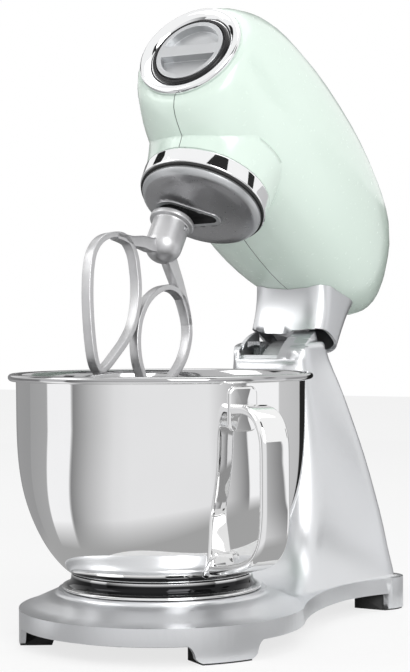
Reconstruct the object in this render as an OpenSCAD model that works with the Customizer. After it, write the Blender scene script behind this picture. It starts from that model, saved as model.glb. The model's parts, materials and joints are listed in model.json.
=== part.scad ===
// Tilt-head stand mixer with planetary drive, bowl and flat beater.
// Millimetres, +Z up, front (bowl end) towards -Y, origin under the middle of the whole on the table.

/* [Placement] */
// Sideways place of the bowl axis from the origin
bowl_x = -13.5; // [-30:0.5:30]
// Lengthways place of the bowl axis from the origin
bowl_y = -116.5; // [-140:0.5:-60]
// Angle by which the head stands tipped back
head_tilt = 34.4; // [30:0.1:36]

/* [Base] */
// Radius of the round front of the base
base_r = 110; // [106:0.5:116]
// Distance from the bowl axis to the rear edge of the base
base_rear = 242; // [238:0.5:250]
// Half width of the base at its rear corners
rear_half = 100; // [96:0.5:106]
// Radius of the two rear corners in plan
rear_corner = 20; // [14:0.5:26]
// Half width of the base at its waist
waist_half = 78.5; // [74:0.5:84]
// Distance from the bowl axis to the waist
waist_y = 147; // [140:0.5:152]
// Height of the top edge of the skirt
skirt_top = 27; // [24:0.5:32]
// Height of the arched lower edge of the skirt
arch_z = 14; // [10:0.5:17]
// Wall thickness of the castings
cast_wall = 4; // [3:0.25:6]
// Height of the bowl seat above the table
seat_z = 41; // [38:0.5:46]
// Thickness of the underside cover
cover_t = 2.5; // [1.5:0.25:4]
// Length of a foot lobe along the skirt, in degrees
foot_arc = 24; // [18:0.5:30]
// Direction of the front feet from straight sideways, in degrees
foot_dir = 32; // [26:0.5:40]
// Height that the rubber stands below the metal lobe
sole_h = 1.2; // [0.6:0.1:2.5]

/* [Column] */
// Half width of the column at its neck
neck_half = 37.5; // [37:0.25:40]
// Front of the column neck
neck_front = 164.5; // [163:0.25:166]
// Rear of the column neck
neck_rear = 227.5; // [226:0.25:230]
// Height of the column neck
neck_top = 236; // [230:0.5:240]
// Lengthways place of the hinge
hinge_y = 213.5; // [212:0.1:215]
// Height of the hinge
hinge_z = 181.7; // [180:0.1:183]
// Radius of the yoke cheeks about the hinge
yoke_r = 55; // [53:0.25:55]
// Radius of the hinge pin
pin_r = 5; // [4:0.1:6]

/* [Head] */
// Height of the top edge of the hub ring with the head down
hub_z = 242; // [240:0.25:244]
// Thickness of the enamelled shell
shell_t = 2.4; // [1.8:0.1:3.2]
// Gap at the seam between the two shells
seam_gap = 0.3; // [0.1:0.05:0.6]
// Height of the outlet axis above the hub ring
outlet_z = 74; // [72:0.25:76]
// Outer radius of the chrome bezel
bezel_r = 44.2; // [43:0.1:44.4]
// Front plane of the head
head_front = -79.2; // [-80:0.1:-78]
// Half width of the neck collar
collar_half = 36.5; // [36.25:0.25:37]
// Front of the neck collar near its lower edge
collar_front = 168; // [167.5:0.25:168.5]
// Rear of the neck collar near its lower edge
collar_rear = 214; // [213.5:0.25:215]
// Wall thickness of the neck collar
collar_t = 2.6; // [2:0.1:3]

/* [Hub and drive] */
// Radius of the chrome hub ring
hub_r = 52.8; // [52:0.1:54]
// Height of the chrome hub ring
hub_h = 13.7; // [12:0.1:15]
// Offset of the beater shaft from the hub axis
planet_e = 21.75; // [21.25:0.05:22]
// Teeth of the planet pinion
planet_teeth = 18; // [17:1:19]
// Radius of the beater shaft
shaft_r = 6; // [5:0.1:6.5]
// Radius of the main shaft
main_r = 5.4; // [4.5:0.1:5.6]

/* [Bowl] */
// Outer radius of the bowl wall
bowl_r = 111; // [109:0.25:113]
// How far the rolled rim stands out past the bowl wall
rim_out = 6.3; // [4:0.1:8]
// Height of the rim bead above the table
rim_z = 203; // [198:0.5:206]
// Thickness of the bowl sheet
bowl_t = 1.2; // [0.8:0.1:2]
// Radius of the bowl foot at the table side
foot_r = 76.8; // [74:0.1:79]
// Direction of the handle from straight sideways, in degrees
handle_dir = -26; // [-35:0.5:-15]
// Distance from the bowl axis to the outside of the handle
handle_reach = 154; // [148:0.5:160]
// Width of the handle strap
handle_w = 24; // [18:0.5:28]
// Thickness of the handle strap
handle_t = 7; // [5:0.25:9]

/* [Beater] */
// Direction of the beater blade about its shaft, in degrees
beater_dir = 80; // [0:1:180]
// How far the two loops reach, as a share of their drawn size
loop_reach = 1; // [0.9:0.01:1.05]
// Width of the loop band in the blade's plane
band_w = 4.6; // [4:0.2:6]
// Thickness of the loop band across the blade
band_t = 8.8; // [6:0.2:11]

/* [Fits] */
// Gap between pieces that slide or turn past each other
run_gap = 0.4; // [0.3:0.05:0.6]
// Radial clearance of a shaft in its bore
fit_gap = 0.05; // [0.02:0.01:0.09]

/* [Hidden] */
$fn = 64;
e = 0.01;
// the ring gear is fixed by its teeth, and the module follows from the offset of the beater shaft
ring_teeth = 47;
planet_m = 2 * planet_e / (ring_teeth - planet_teeth);

// ---- frames -------------------------------------------------------------------------------
// about the bowl axis, on the table
module on_table() translate([bowl_x, bowl_y, 0]) children();
// in the head, with z = 0 at the top edge of the hub ring and the hub axis upright
module in_head() on_table() translate([0, hinge_y, hinge_z]) rotate([-head_tilt, 0, 0])
  translate([0, -hinge_y, hub_z - hinge_z]) children();
// along the outlet axis, with z pointing out of the front of the head
module on_outlet() in_head() translate([0, 0, outlet_z]) rotate([90, 0, 0]) children();
// along the beater shaft, which the planet carrier holds off the hub axis
module on_planet() in_head() translate([-planet_e, 0, 0]) children();

// ---- curves -------------------------------------------------------------------------------
// a smooth curve through rows of values, where u counts the rows
function blend4(a, b, c, d, t) = 0.5 * (2 * b + (c - a) * t + (2 * a - 5 * b + 4 * c - d) * t * t
  + (3 * b - a - 3 * c + d) * t * t * t);
function along(rows, u) = let (n = len(rows) - 1, i = min(floor(u), n - 1))
  blend4(rows[max(i - 1, 0)], rows[i], rows[i + 1], rows[min(i + 2, n)], u - i);
function power_sign(v, p) = sign(v) * pow(abs(v), p);

// ---- gears --------------------------------------------------------------------------------
pressure = 20;
function involute(r, rb) = let (a = acos(min(rb / r, 1))) tan(a) * 180 / PI - a;
// tooth outline with teeth centred on 0, 360/z ...; slack narrows each tooth, in degrees
function gear_points(m, z, add, ded, slack) = let (
    rp = m * z / 2, rb = rp * cos(pressure), ra = rp + add, rf = rp - ded, r0 = max(rb, rf),
    half_pitch = 90 / z - slack + involute(rp, rb),
    steps = [for (i = [0:3]) r0 + (ra - r0) * i / 3],
    half = [for (r = steps) half_pitch - involute(r, rb)])
  [for (k = [0:z - 1]) let (c = 360 * k / z) each concat(
    rf < rb ? [rf * [cos(c - half[0]), sin(c - half[0])]] : [],
    [for (i = [0:3]) steps[i] * [cos(c - half[i]), sin(c - half[i])]],
    [for (i = [3:-1:0]) steps[i] * [cos(c + half[i]), sin(c + half[i])]],
    rf < rb ? [rf * [cos(c + half[0]), sin(c + half[0])]] : [])];
module gear(m, z, h, slack = 0.15) linear_extrude(h)
  polygon(gear_points(m, z, 0.9 * m, 1.15 * m, slack));

// ---- shared shapes ------------------------------------------------------------------------
module ring(r_out, r_in, h) difference() {
  cylinder(r = r_out, h = h);
  translate([0, 0, -1]) cylinder(r = r_in, h = h + 2);
}
// plate in the XY plane with round corners, between two corners
module round_plate(x0, x1, y0, y1, r, h) linear_extrude(h) union() {
  translate([x0 + r, y0]) square([x1 - x0 - 2 * r, y1 - y0]);
  translate([x0, y0 + r]) square([x1 - x0, y1 - y0 - 2 * r]);
  for (x = [x0 + r, x1 - r], y = [y0 + r, y1 - r]) translate([x, y]) circle(r);
}
// bar along X, centred on the hinge height
module hinge_bar(r, x0, x1) translate([x0, hinge_y, hinge_z]) rotate([0, 90, 0])
  cylinder(r = r, h = x1 - x0);

// ---- plan of the base ---------------------------------------------------------------------
// the waist is an arc that touches the round front, and a second that touches the rear corner
waist_front_r = (waist_y * waist_y - base_r * base_r + waist_half * waist_half) / (2 * (base_r - waist_half));
corner_x = rear_half - rear_corner;
corner_y = base_rear - rear_corner;
waist_dx = corner_x - waist_half;
waist_dy = corner_y - waist_y;
waist_rear_r = (waist_dx * waist_dx + waist_dy * waist_dy - rear_corner * rear_corner)
  / (2 * (rear_corner + waist_dx));
front_touch = [waist_half + waist_front_r, waist_y] * base_r / (base_r + waist_front_r);
rear_touch = [corner_x, corner_y] + ([waist_half + waist_rear_r, waist_y] - [corner_x, corner_y])
  * rear_corner / (rear_corner + waist_rear_r);
// the waist arcs cross the others by this little, so that no two arcs only graze
arc_cross = 0.08;
module base_plan(inset = 0) difference() {
  union() {
    circle(base_r - inset, $fn = 128);
    polygon([[0, 0], front_touch - [inset, 0], rear_touch - [inset, 0], [corner_x - inset, corner_y],
      [-corner_x + inset, corner_y], [-rear_touch.x + inset, rear_touch.y],
      [-front_touch.x + inset, front_touch.y]]);
    for (s = [-1, 1]) translate([s * corner_x, corner_y]) circle(rear_corner - inset);
    translate([-corner_x, corner_y - 1]) square([2 * corner_x, rear_corner - inset + 1]);
  }
  for (s = [-1, 1]) {
    intersection() {
      translate([s * (waist_half + waist_front_r), waist_y]) circle(waist_front_r + inset + arc_cross, $fn = 160);
      translate([s > 0 ? 0 : -base_r, front_touch.y]) square([base_r, waist_y - front_touch.y]);
    }
    intersection() {
      translate([s * (waist_half + waist_rear_r), waist_y]) circle(waist_rear_r + inset + arc_cross, $fn = 128);
      translate([s > 0 ? 0 : -base_r, waist_y - e]) square([base_r, rear_touch.y - waist_y + e]);
    }
  }
}

// ---- column -------------------------------------------------------------------------------
// a loft of rounded sections: height, front, rear, half width in front, half width behind, pinch, power
column_rows = [
  [skirt_top - 3, 66, base_rear - 1, waist_half + 4, rear_half - 1.3, 12, 8],
  [skirt_top + 5, 98, base_rear - 1, waist_half - 5, rear_half - 4, 9, 8],
  [50, 126, base_rear - 2, 60, rear_half - 7.7, 6, 7],
  [80, 145, base_rear - 3.5, 50, rear_half - 14, 3, 6],
  [130, neck_front - 7.5, neck_rear + 8, neck_half + 4.5, neck_half + 34, 1, 5],
  [180, neck_front - 2, neck_rear + 4.5, neck_half + 1, neck_half + 14, 0, 4.4],
  [212, neck_front, neck_rear, neck_half, neck_half - 0.8, 0, 4.2],
  [neck_top, neck_front + 0.5, neck_rear - 11.5, neck_half - 0.5, neck_half - 3.5, 0, 4.2]];
collar_rows = [
  [-46, collar_front + 2, collar_rear - 1, collar_half, collar_half, 0, 4.2],
  [-18, collar_front, collar_rear - 0.2, collar_half, collar_half, 0, 4.2],
  [-4, collar_front - 3.6, collar_rear + 0.5, collar_half, collar_half, 0, 4.2],
  [6, collar_front - 8.5, collar_rear + 1.6, collar_half, collar_half, 0, 4.2],
  [16, collar_front - 15.5, collar_rear + 3.4, collar_half, collar_half, 0, 4.2],
  [28, collar_front - 26, collar_rear + 7, collar_half, collar_half, 0, 4.2],
  [46, collar_front - 44, collar_rear + 14, collar_half, collar_half, 0, 4.2]];
loft_sides = 44;
loft_steps = 3;
function loft_ring(row, inset) = let (yc = (row[1] + row[2]) / 2, b = (row[2] - row[1]) / 2 - inset)
  [for (k = [0:loft_sides - 1]) let (a = 360 * k / loft_sides,
    sx = power_sign(cos(a), 2 / row[6]), sy = power_sign(sin(a), 2 / row[6]),
    w = (row[3] + row[4]) / 2 + (row[4] - row[3]) / 2 * sy - row[5] * (1 - sy * sy) - inset)
    [sx * w, yc + b * sy, row[0]]];
module loft(rows, inset = 0, first = 0) {
  n = loft_sides;
  steps = (len(rows) - 1 - first) * loft_steps;
  points = [for (i = [0:steps]) each loft_ring(along(rows, first + i / loft_steps), inset)];
  faces = concat([[for (k = [0:n - 1]) k]], [[for (k = [n - 1:-1:0]) steps * n + k]],
    [for (i = [0:steps - 1], k = [0:n - 1]) each let (a = i * n + k, b = i * n + (k + 1) % n)
      [[a, a + n, b], [b, a + n, b + n]]]);
  polyhedron(points, faces);
}
// side view of the line where the collar's lower edge meets the column, with the head down
shoulder = [[152, -33], [collar_front - 4, -31], [collar_front, -29.5], [collar_front + 2, -23],
  [collar_front + 4.5, -19.7], [collar_front + 9, -17.5], [collar_front + 19, -15], [198, -14.2],
  [205, -14.3], [211, -17], [217, -22], [228, -33]];
shoulder_gap = 0.8;
function shoulder_line(rise) = [for (i = [0:4 * (len(shoulder) - 1)]) let (p = along(shoulder, i / 4))
  [p.x, p.y + rise]];
// everything below the shoulder line in side view, as a slab across the column
module below_shoulder(rise, x = 120) rotate([90, 0, 90]) translate([0, 0, -x]) linear_extrude(2 * x)
  polygon(concat([[600, -400], [-200, -400], [-200, shoulder[0].y + rise]], shoulder_line(rise),
    [[600, shoulder[11].y + rise]]));
knuckle_r = 46;
knuckle_x0 = -12;
knuckle_x1 = 9;
yoke_inset = 4.6;
window_z = 216;
window_x0 = -28;
window_x1 = knuckle_x1 + 0.8;
// radius about the hinge inside which the column stays behind the hinge, as the collar swings past
rear_clear = 38.6;
// radius about the hinge of the inner edge of the lip, less its clearance
lip_r = 52.1;

module foot_lobe(dir, arc) intersection() {
  difference() {
    linear_extrude(arch_z + 8) base_plan();
    translate([0, 0, -1]) linear_extrude(arch_z + 10) base_plan(cast_wall);
  }
  rotate([0, 0, dir]) translate([0, 0, sole_h]) rotate([90, 0, 90]) linear_extrude(base_r + 40)
    polygon(lobe_side(arc));
}
function lobe_side(arc) = let (w = base_r * arc * PI / 360, s = arch_z - sole_h + 0.5)
  concat([[-w + 3, 0], [w - 3, 0], [w, 1.5]],
    [for (a = [10:10:80]) [w + 2 + s * 0.6 * (1 - cos(a)), 1.5 + (s - 1.5) * sin(a)]],
    [[w + 11, s], [w + 11, s + 4], [-w - 11, s + 4], [-w - 11, s]],
    [for (a = [80:-10:10]) [-w - 2 - s * 0.6 * (1 - cos(a)), 1.5 + (s - 1.5) * sin(a)]], [[-w, 1.5]]);
// rear lobes stand at the two rear corners
module rear_lobe(s) intersection() {
  difference() {
    linear_extrude(arch_z + 8) base_plan();
    translate([0, 0, -1]) linear_extrude(arch_z + 10) base_plan(cast_wall);
  }
  translate([s * rear_half, base_rear, sole_h]) rotate([0, 0, s > 0 ? 0 : 90]) translate([-34, -34, 0])
    cube([60, 60, 40]);
}
front_foot_dirs = [-foot_dir, 180 + foot_dir];

// the column up to the shoulder, and the two cheeks that reach into the collar
module column() intersection() {
  difference() {
    union() {
      intersection() { loft(column_rows); translate([0, 0, hub_z]) below_shoulder(-shoulder_gap); }
      intersection() {
        loft(column_rows, yoke_inset, 4);
        hinge_bar(yoke_r, -neck_half, neck_half);
        translate([-60, 0, 0]) cube([120, collar_rear - 6.8, 300]);
      }
    }
    difference() {
      translate([-60, hinge_y - 4, hinge_z]) cube([120, 60, 80]);
      hinge_bar(rear_clear, -61, 61);
    }
  }
  linear_extrude(300) base_plan();
}
module base_casting() color("silver") on_table() difference() {
  union() {
    base_walls();
    for (p = screw_places) translate([p.x, p.y, arch_z + cover_t - 1]) cylinder(r = 5, h = skirt_top - arch_z - 3);
  }
  for (p = screw_places) translate([p.x, p.y, 0]) cylinder(r = 1.6 + fit_gap, h = arch_z + 7);
  base_recesses();
}
// the casting with its hollow underside, before its bores
module base_walls() difference() {
  union() {
    translate([0, 0, arch_z]) linear_extrude(skirt_top - arch_z) base_plan();
    translate([0, 0, skirt_top - e]) cylinder(r1 = base_r - 1.5, r2 = foot_r + 7, h = seat_z - skirt_top - 3,
      $fn = 128);
    translate([0, 0, skirt_top - cast_wall]) cylinder(r = foot_r + 3, h = seat_z - skirt_top + cast_wall, $fn = 128);
    column();
    for (d = front_foot_dirs) foot_lobe(d, foot_arc);
    for (s = [-1, 1]) rear_lobe(s);
  }
  // hollow underside and column
  translate([0, 0, arch_z - 1]) linear_extrude(skirt_top - arch_z - cast_wall + 1) base_plan(cast_wall);
  translate([0, 0, arch_z - 1]) cylinder(r = foot_r - 5, h = seat_z - arch_z - 9, $fn = 96);
  translate([-38, 170, arch_z - 1]) cube([76, 58, 105]);
}
// room the lip of the collar sweeps through, outside a radius about the hinge
module lip_room(r, x0, x1) difference() {
  translate([x0, neck_front - 10, hub_z - 29.6]) cube([x1 - x0, 34, 40]);
  hinge_bar(r, x0 - 1, x1 + 1);
}
module base_recesses() {
  lip_room(lip_r, window_x0, window_x1);
  lip_room(lip_r + 2.6, window_x1 - e, window_x1 + 9);
  // window between the cheeks
  translate([window_x0, neck_front - 20, window_z]) cube([window_x1 - window_x0, 130, 80]);
  // room for the neck knuckle and the latch
  knuckle_room();
  hinge_bar(pin_r + fit_gap, -neck_half - 20, neck_half + 20);
  // seats of the hinge bushes
  for (x = [knuckle_x0 - 13.4, knuckle_x1 - 0.6]) hinge_bar(bush_r, x, x + 14);
  // bayonet recess for the bowl plate
  translate([0, 0, seat_z - lock_recess]) cylinder(r = lock_r + 0.4, h = 20);
  cylinder(r = 8, h = 80);
  // release button and its plunger
  translate([button_x, neck_rear + 30, button_z]) rotate([90, 0, 0]) cylinder(r = button_r + run_gap, h = 44);
  translate([button_x, neck_rear + 30, button_z]) rotate([90, 0, 0]) cylinder(r = button_stem + run_gap, h = 70);
  // latch pivot
  translate([latch_x0 - 7, latch_y, latch_z]) rotate([0, 90, 0]) cylinder(r = latch_pin_r, h = 26);
  // hole for the cord's strain relief
  translate([0, base_rear + 5, gland_z]) rotate([90, 0, 0]) cylinder(r = gland_r, h = 30);
}
bush_r = pin_r + 3;
lock_r = 62;
lock_recess = 5;
button_x = -22;
button_z = 200.5;
button_r = 9;
button_stem = 4;
latch_x0 = -26;
latch_x1 = -14;
latch_y = 196;
latch_z = 158;
latch_pin_r = 2.5;
gland_z = 21;
gland_r = 5;
// the room is a pie about the hinge for the knuckle's whole swing, and a slot for the latch
module pie(r, x0, x1, a0, a1) translate([x0, hinge_y, hinge_z]) rotate([90, 0, 90]) linear_extrude(x1 - x0)
  polygon(concat([[0, 0]], [for (i = [0:16]) r * [cos(a0 + (a1 - a0) * i / 16), sin(a0 + (a1 - a0) * i / 16)]]));
module knuckle_room() {
  pie(knuckle_r + 1.5, knuckle_x0 - 0.6, knuckle_x1 + 0.6, 62, 204);
  hinge_bar(13.2, knuckle_x0 - 0.6, knuckle_x1 + 0.6);
  translate([latch_x0 - 1, latch_y - 18, latch_z - 14]) cube([latch_x1 - latch_x0 + 2, 25, 100]);
}

module base_cover() color("dimgray") on_table() difference() {
  translate([0, 0, arch_z - 1]) linear_extrude(cover_t) base_plan(cast_wall + run_gap);
  for (p = screw_places) translate([p.x, p.y, 0]) cylinder(r = 2.2, h = 60);
  cylinder(r = 8, h = 60);
}
screw_places = [[22, -92], [-22, -92], [62, 120], [-62, 120], [50, 205], [-50, 205]];
module cover_screws() color("gray") on_table() for (p = screw_places) translate([p.x, p.y, arch_z - 2.6]) {
  cylinder(r = 3.6, h = 1.6);
  cylinder(r = 1.6, h = 9);
}
// pads inside the lobes, which the whole thing stands on
module rubber_feet() color("black") on_table() {
  for (d = front_foot_dirs) rotate([0, 0, d]) intersection() {
    translate([base_r - 22 - cast_wall - run_gap, -20, 0]) cube([22 + cast_wall, 40, arch_z - 1.3]);
    union() {
      cylinder(r = base_r - cast_wall - run_gap, h = 60, $fn = 128);
      cylinder(r = base_r - 0.6, h = sole_h - 0.3, $fn = 128);
    }
  }
  for (s = [-1, 1]) intersection() {
    translate([s * (rear_half - 18), base_rear - 18, 0]) translate([-18, -18, 0]) cube([36, 36, arch_z - 1.3]);
    union() {
      linear_extrude(60) base_plan(cast_wall + run_gap);
      linear_extrude(sole_h - 0.3) base_plan(1);
    }
  }
}
module bowl_lock_plate() color("dimgray") on_table() {
  difference() {
    translate([0, 0, seat_z - lock_recess + 0.05]) cylinder(r = lock_r, h = lock_recess - 0.6);
    translate([0, 0, seat_z - 10]) cylinder(r = 7, h = 20);
  }
  for (k = [0:2]) rotate([0, 0, 120 * k + 10]) translate([0, 0, seat_z - 1]) rotate_extrude(angle = 24)
    polygon([[lock_r - 12, 0], [lock_r - 7, 0], [lock_r - 7, 3], [lock_r - 3, 3], [lock_r - 3, 4.6],
      [lock_r - 12, 4.6]]);
}
module cord_gland() color("black") on_table() difference() {
  union() {
    translate([0, base_rear - 7, gland_z]) rotate([-90, 0, 0]) cylinder(r = gland_r - fit_gap, h = 9);
    translate([0, base_rear + run_gap, gland_z]) rotate([-90, 0, 0]) cylinder(r = gland_r + 1, h = 2.5);
  }
  translate([0, base_rear - 20, gland_z]) rotate([-90, 0, 0]) cylinder(r = 3.6, h = 40);
}
module hinge_pin() color("lightgray") on_table() hinge_bar(pin_r, -neck_half + 3.5, neck_half - 3.5);
module hinge_bushes() color("goldenrod") on_table() for (x = [knuckle_x0 - 13, knuckle_x1 + 1]) difference() {
  hinge_bar(bush_r - fit_gap, x, x + 12);
  hinge_bar(pin_r + fit_gap, x - 1, x + 13);
}
// the head of the button stands proud at the back of the column
module release_button() color("silver") on_table() {
  translate([button_x, neck_rear + 8.5, button_z]) rotate([90, 0, 0]) cylinder(r = button_r, h = 10.5);
  translate([button_x, neck_rear, button_z]) rotate([90, 0, 0]) cylinder(r = button_stem, h = neck_rear - latch_y - 4);
}
module button_spring() color("gray") on_table() translate([button_x, neck_rear - 2.6, button_z])
  rotate([90, 0, 0]) for (k = [0:3]) translate([0, 0, 2.8 * k]) ring(button_r - 1.2, button_stem + 0.8, 1.4);
module latch_pin() color("gray") on_table() translate([latch_x0 - 6.5, latch_y, latch_z]) rotate([0, 90, 0])
  cylinder(r = latch_pin_r, h = 25);
module latch_lever() color("gray") on_table() difference() {
  union() {
    translate([latch_x0, latch_y, latch_z]) rotate([0, 90, 0]) cylinder(r = 7, h = latch_x1 - latch_x0);
    translate([latch_x0, latch_y - 3.5, latch_z]) cube([latch_x1 - latch_x0, 7, button_z - latch_z + 26]);
    translate([latch_x0, latch_y - 14, button_z + 22]) cube([latch_x1 - latch_x0, 14, 5]);
  }
  translate([latch_x0 - 1, latch_y, latch_z]) rotate([0, 90, 0]) cylinder(r = latch_pin_r + fit_gap, h = 20);
}

// ---- head ---------------------------------------------------------------------------------
// rows: station, top, bottom, half width, height of the widest line, power of the section
head_rows = [
  [head_front, outlet_z + 44.8, outlet_z - 44.8, 44.8, outlet_z, 2],
  [-75, 125.5, 20.5, 48.8, outlet_z + 0.5, 2.1],
  [-63, 135, 13.6, 53, 75, 2.25],
  [-44, 144.8, 8, 58.5, 76.5, 2.35],
  [-15, 149.8, 3.2, 65.2, 79, 2.4],
  [25, 151.8, 1.2, 71, 81, 2.41],
  [80, 152.4, 1.6, 73.2, 82.3, 2.41],
  [125, 151.2, 5.2, 71.4, 82.3, 2.41],
  [165, 147.5, 13, 67, 82.3, 2.41],
  [200, 140.6, 23.4, 59.4, 82.3, 2.41],
  [230, 128, 36.6, 46.6, 82.3, 2.4],
  [252, 115, 49, 33.8, 82.3, 2.35],
  [268, 101.5, 62.5, 20.5, 82.3, 2.3],
  [275.5, 91, 73.6, 9, 82.3, 2.2],
  [277.6, 83.3, 81.3, 0.8, 82.3, 2]];
shell_steps = 30;
shell_sides = 14;
// half section on the right of the centre plane, from the bottom to the top
function half_ring(row, inset, y_in) = [for (j = [0:shell_sides]) let (
    a = -90 + 180 * j / shell_sides, s = power_sign(sin(a), 2 / row[5]),
    w = max(row[3] - inset, 0.3), up = max(row[1] - row[4] - inset, 0.3), dn = max(row[4] - row[2] - inset, 0.3))
  [w * power_sign(cos(a) < 1e-9 ? 0 : cos(a), 2 / row[5]), row[0] - y_in, row[4] + s * (s > 0 ? up : dn)]];
module half_shell() {
  n = shell_sides + 1;
  outer = [for (i = [0:shell_steps]) each half_ring(along(head_rows, 14 * i / shell_steps), 0, 0)];
  inner = [for (i = [0:shell_steps]) each half_ring(along(head_rows, 14 * i / shell_steps), shell_t,
    shell_t * pow(i / shell_steps, 3))];
  m = len(outer);
  last = shell_steps * n;
  faces = concat(
    [for (i = [0:shell_steps - 1], j = [0:shell_sides - 1]) each let (a = i * n + j, b = a + n)
      [[a, a + 1, b], [a + 1, b + 1, b], [m + a, m + b, m + a + 1], [m + a + 1, m + b, m + b + 1]]],
    [for (i = [0:shell_steps - 1]) each let (a = i * n, b = a + n, c = a + n - 1, d = b + n - 1)
      [[a, b, m + a], [m + a, b, m + b], [c, m + c, d], [m + c, m + d, d]]],
    [for (j = [0:shell_sides - 1]) each [[j, m + j, j + 1], [j + 1, m + j, m + j + 1]]],
    [[for (j = [0:shell_sides]) last + j], [for (j = [shell_sides:-1:0]) m + last + j],
      [last, last + shell_sides, m + last + shell_sides, m + last]]);
  translate([seam_gap / 2, 0, 0]) polyhedron(concat(outer, inner), faces);
}
boss_in = hub_r - 3.2;
// skirt of the shell that widens upwards from the hub ring
module hub_boss() rotate_extrude($fn = 96) polygon([[boss_in, 0.3], [hub_r - 0.5, 0.3], [hub_r + 0.1, 6],
  [hub_r + 1.2, 13], [hub_r + 2.8, 20], [hub_r + 4.6, 28], [hub_r + 1.8, 28], [hub_r - 0.8, 18], [boss_in, 12]]);
module half_boss() difference() {
  intersection() { hub_boss(); translate([seam_gap / 2, -80, -5]) cube([90, 160, 40]); }
  head_body(-shell_t / 2);
}
module shell_openings() {
  translate([0, 0, -2]) cylinder(r = boss_in, h = 26, $fn = 96);
  loft(collar_rows, 2);
  translate([0, 0, 148.6]) round_plate(-track_half, track_half, track_y0, track_y1, 5, 10);
  translate([-3, track_y0 + 12, 120]) cube([6, track_y1 - track_y0 - 24, 40]);
  // vent slots low at the back
  for (s = [-1, 1], k = [0:4]) translate([s * (21 - 1.5 * k), 216 + 10.5 * k, 22 + 7.2 * k + 0.3 * k * k])
    rotate([-50, 0, 0]) translate([-9 + 1.5 * k, -1.5, -12]) cube([18 - 3 * k, 3, 24]);
}
module head_shell_right() color("honeydew") in_head() difference() {
  union() {
    half_shell();
    half_boss();
  }
  shell_openings();
}
module head_shell_left() color("honeydew") in_head() difference() {
  mirror([1, 0, 0]) union() {
    half_shell();
    half_boss();
  }
  shell_openings();
}
// the head as one closed body, to trim the collar against
module head_body(grow) {
  n = 2 * shell_sides;
  full = function (row) [for (k = [0:n - 1]) let (a = -90 + 360 * k / n, s = power_sign(sin(a), 2 / row[5]),
    r = s > 0 ? row[1] - row[4] : row[4] - row[2])
    [(row[3] + grow) * power_sign(cos(a), 2 / row[5]), row[0], row[4] + s * (r + grow)]];
  points = [for (i = [0:shell_steps]) each full(along(head_rows, 14 * i / shell_steps))];
  polyhedron(points, concat([[for (k = [n - 1:-1:0]) k]], [[for (k = [0:n - 1]) shell_steps * n + k]],
    [for (i = [0:shell_steps - 1], k = [0:n - 1]) each let (a = i * n + k, b = i * n + (k + 1) % n)
      [[a, b, a + n], [b, b + n, a + n]]]));
}
// front view of the collar's lower edge, which dips between the cheeks
lip = [[-60, -19], [-36, -19.5], [-31, -22], [-28.6, -23.8], [-27, -26.5], [-23, -28], [-15, -28.6], [-6, -28.8],
  [2, -28.3], [7, -26.8], [9.4, -23.8], [16.6, -23.6], [28.7, -21.5], [36, -19.5], [60, -19]];
module neck_collar() color("silver") in_head() difference() {
  loft(collar_rows);
  loft_inner();
  below_shoulder(0);
  translate([0, collar_front + 3, 0]) rotate([90, 0, 0]) linear_extrude(60)
    polygon(concat([[60, -80], [-60, -80]], lip));
  head_body(0.3);
}
// the hollow of the collar runs out past both of its ends
module loft_inner() loft([for (i = [0:6]) collar_rows[i] + [i == 0 ? -2 : i == 6 ? 2 : 0, 0, 0, 0, 0, 0, 0]], collar_t);
module head_chassis() color("darkgray") in_head() difference() {
  union() {
    translate([0, 0, -hub_z]) {
      pie(knuckle_r, knuckle_x0, knuckle_x1, 118, 196);
      hinge_bar(12.4, knuckle_x0, knuckle_x1);
    }
    translate([knuckle_x0, 172, -24]) cube([knuckle_x1 - knuckle_x0, 24, plate_z + 25]);
    translate([-20, 40, plate_z]) cube([40, 156, 4]);
    for (s = [-1, 1]) translate([s * 18 - 2, 64, plate_z + 4 - e]) cube([4, 44, 5]);
    translate([-22, 192, plate_z]) cube([44, 4, 46]);
    for (s = [-1, 1]) translate([s * 18 - 2, 192, plate_z + 36]) cube([4, board_y - 192, 8]);
  }
  translate([0, 0, 5]) linear_extrude(60) case_plan(fit_gap);
  translate([0, 0, -hub_z]) hinge_bar(pin_r + fit_gap, -60, 60);
}
plate_z = 17;
board_y = 216;
// bezel, ring and cap of the accessory outlet, with z out of the front
front = -head_front;
module outlet_bezel() color("gainsboro") on_outlet() rotate_extrude($fn = 96) polygon(concat(
  [[33.4, front - 8], [41.6, front - 8], [41.6, front + 0.2], [bezel_r - 0.6, front + 0.2], [bezel_r, front + 1.2]],
  [for (a = [0:15:90]) [bezel_r - 2.4 + 2.4 * cos(a), front + 3 + 2.4 * sin(a)]],
  [for (a = [20:20:80]) [bezel_r - 2.4 - 8.4 * sin(a), front + 1.4 + 4 * cos(a)]], [[33.4, front + 1.2]]));
module outlet_ring() color("black") on_outlet() rotate_extrude($fn = 96) polygon([[29.6, front - 9],
  [33.2, front - 9], [33.2, front + 2.4], [32.6, front + 3.2], [30.6, front + 3.2], [29.6, front + 2]]);
cap_r = 29.6 - run_gap;
module outlet_cap() color("silver") on_outlet() {
  difference() {
    union() {
      translate([0, 0, front - 8]) cylinder(r = cap_r, h = 12, $fn = 96);
      translate([-8, -8, front - 18]) cube([16, 16, 11]);
    }
    difference() {
      translate([0, 0, front - 3]) cylinder(r = cap_r - 4, h = 12, $fn = 96);
      translate([-cap_r, -5.5, front - 4]) cube([2 * cap_r, 11, 14]);
    }
  }
}
module outlet_bearing() color("goldenrod") on_outlet() difference() {
  union() {
    translate([0, 0, 18]) cylinder(r = 15, h = 40);
    translate([0, 0, 56]) cylinder(r = 29, h = 4, $fn = 96);
    for (k = [0:3]) rotate([0, 0, 90 * k + 45]) translate([24, 0, 58]) cylinder(r = 3, h = 12);
  }
  translate([0, 0, 10]) cylinder(r = 11 + fit_gap, h = 80);
}
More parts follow.
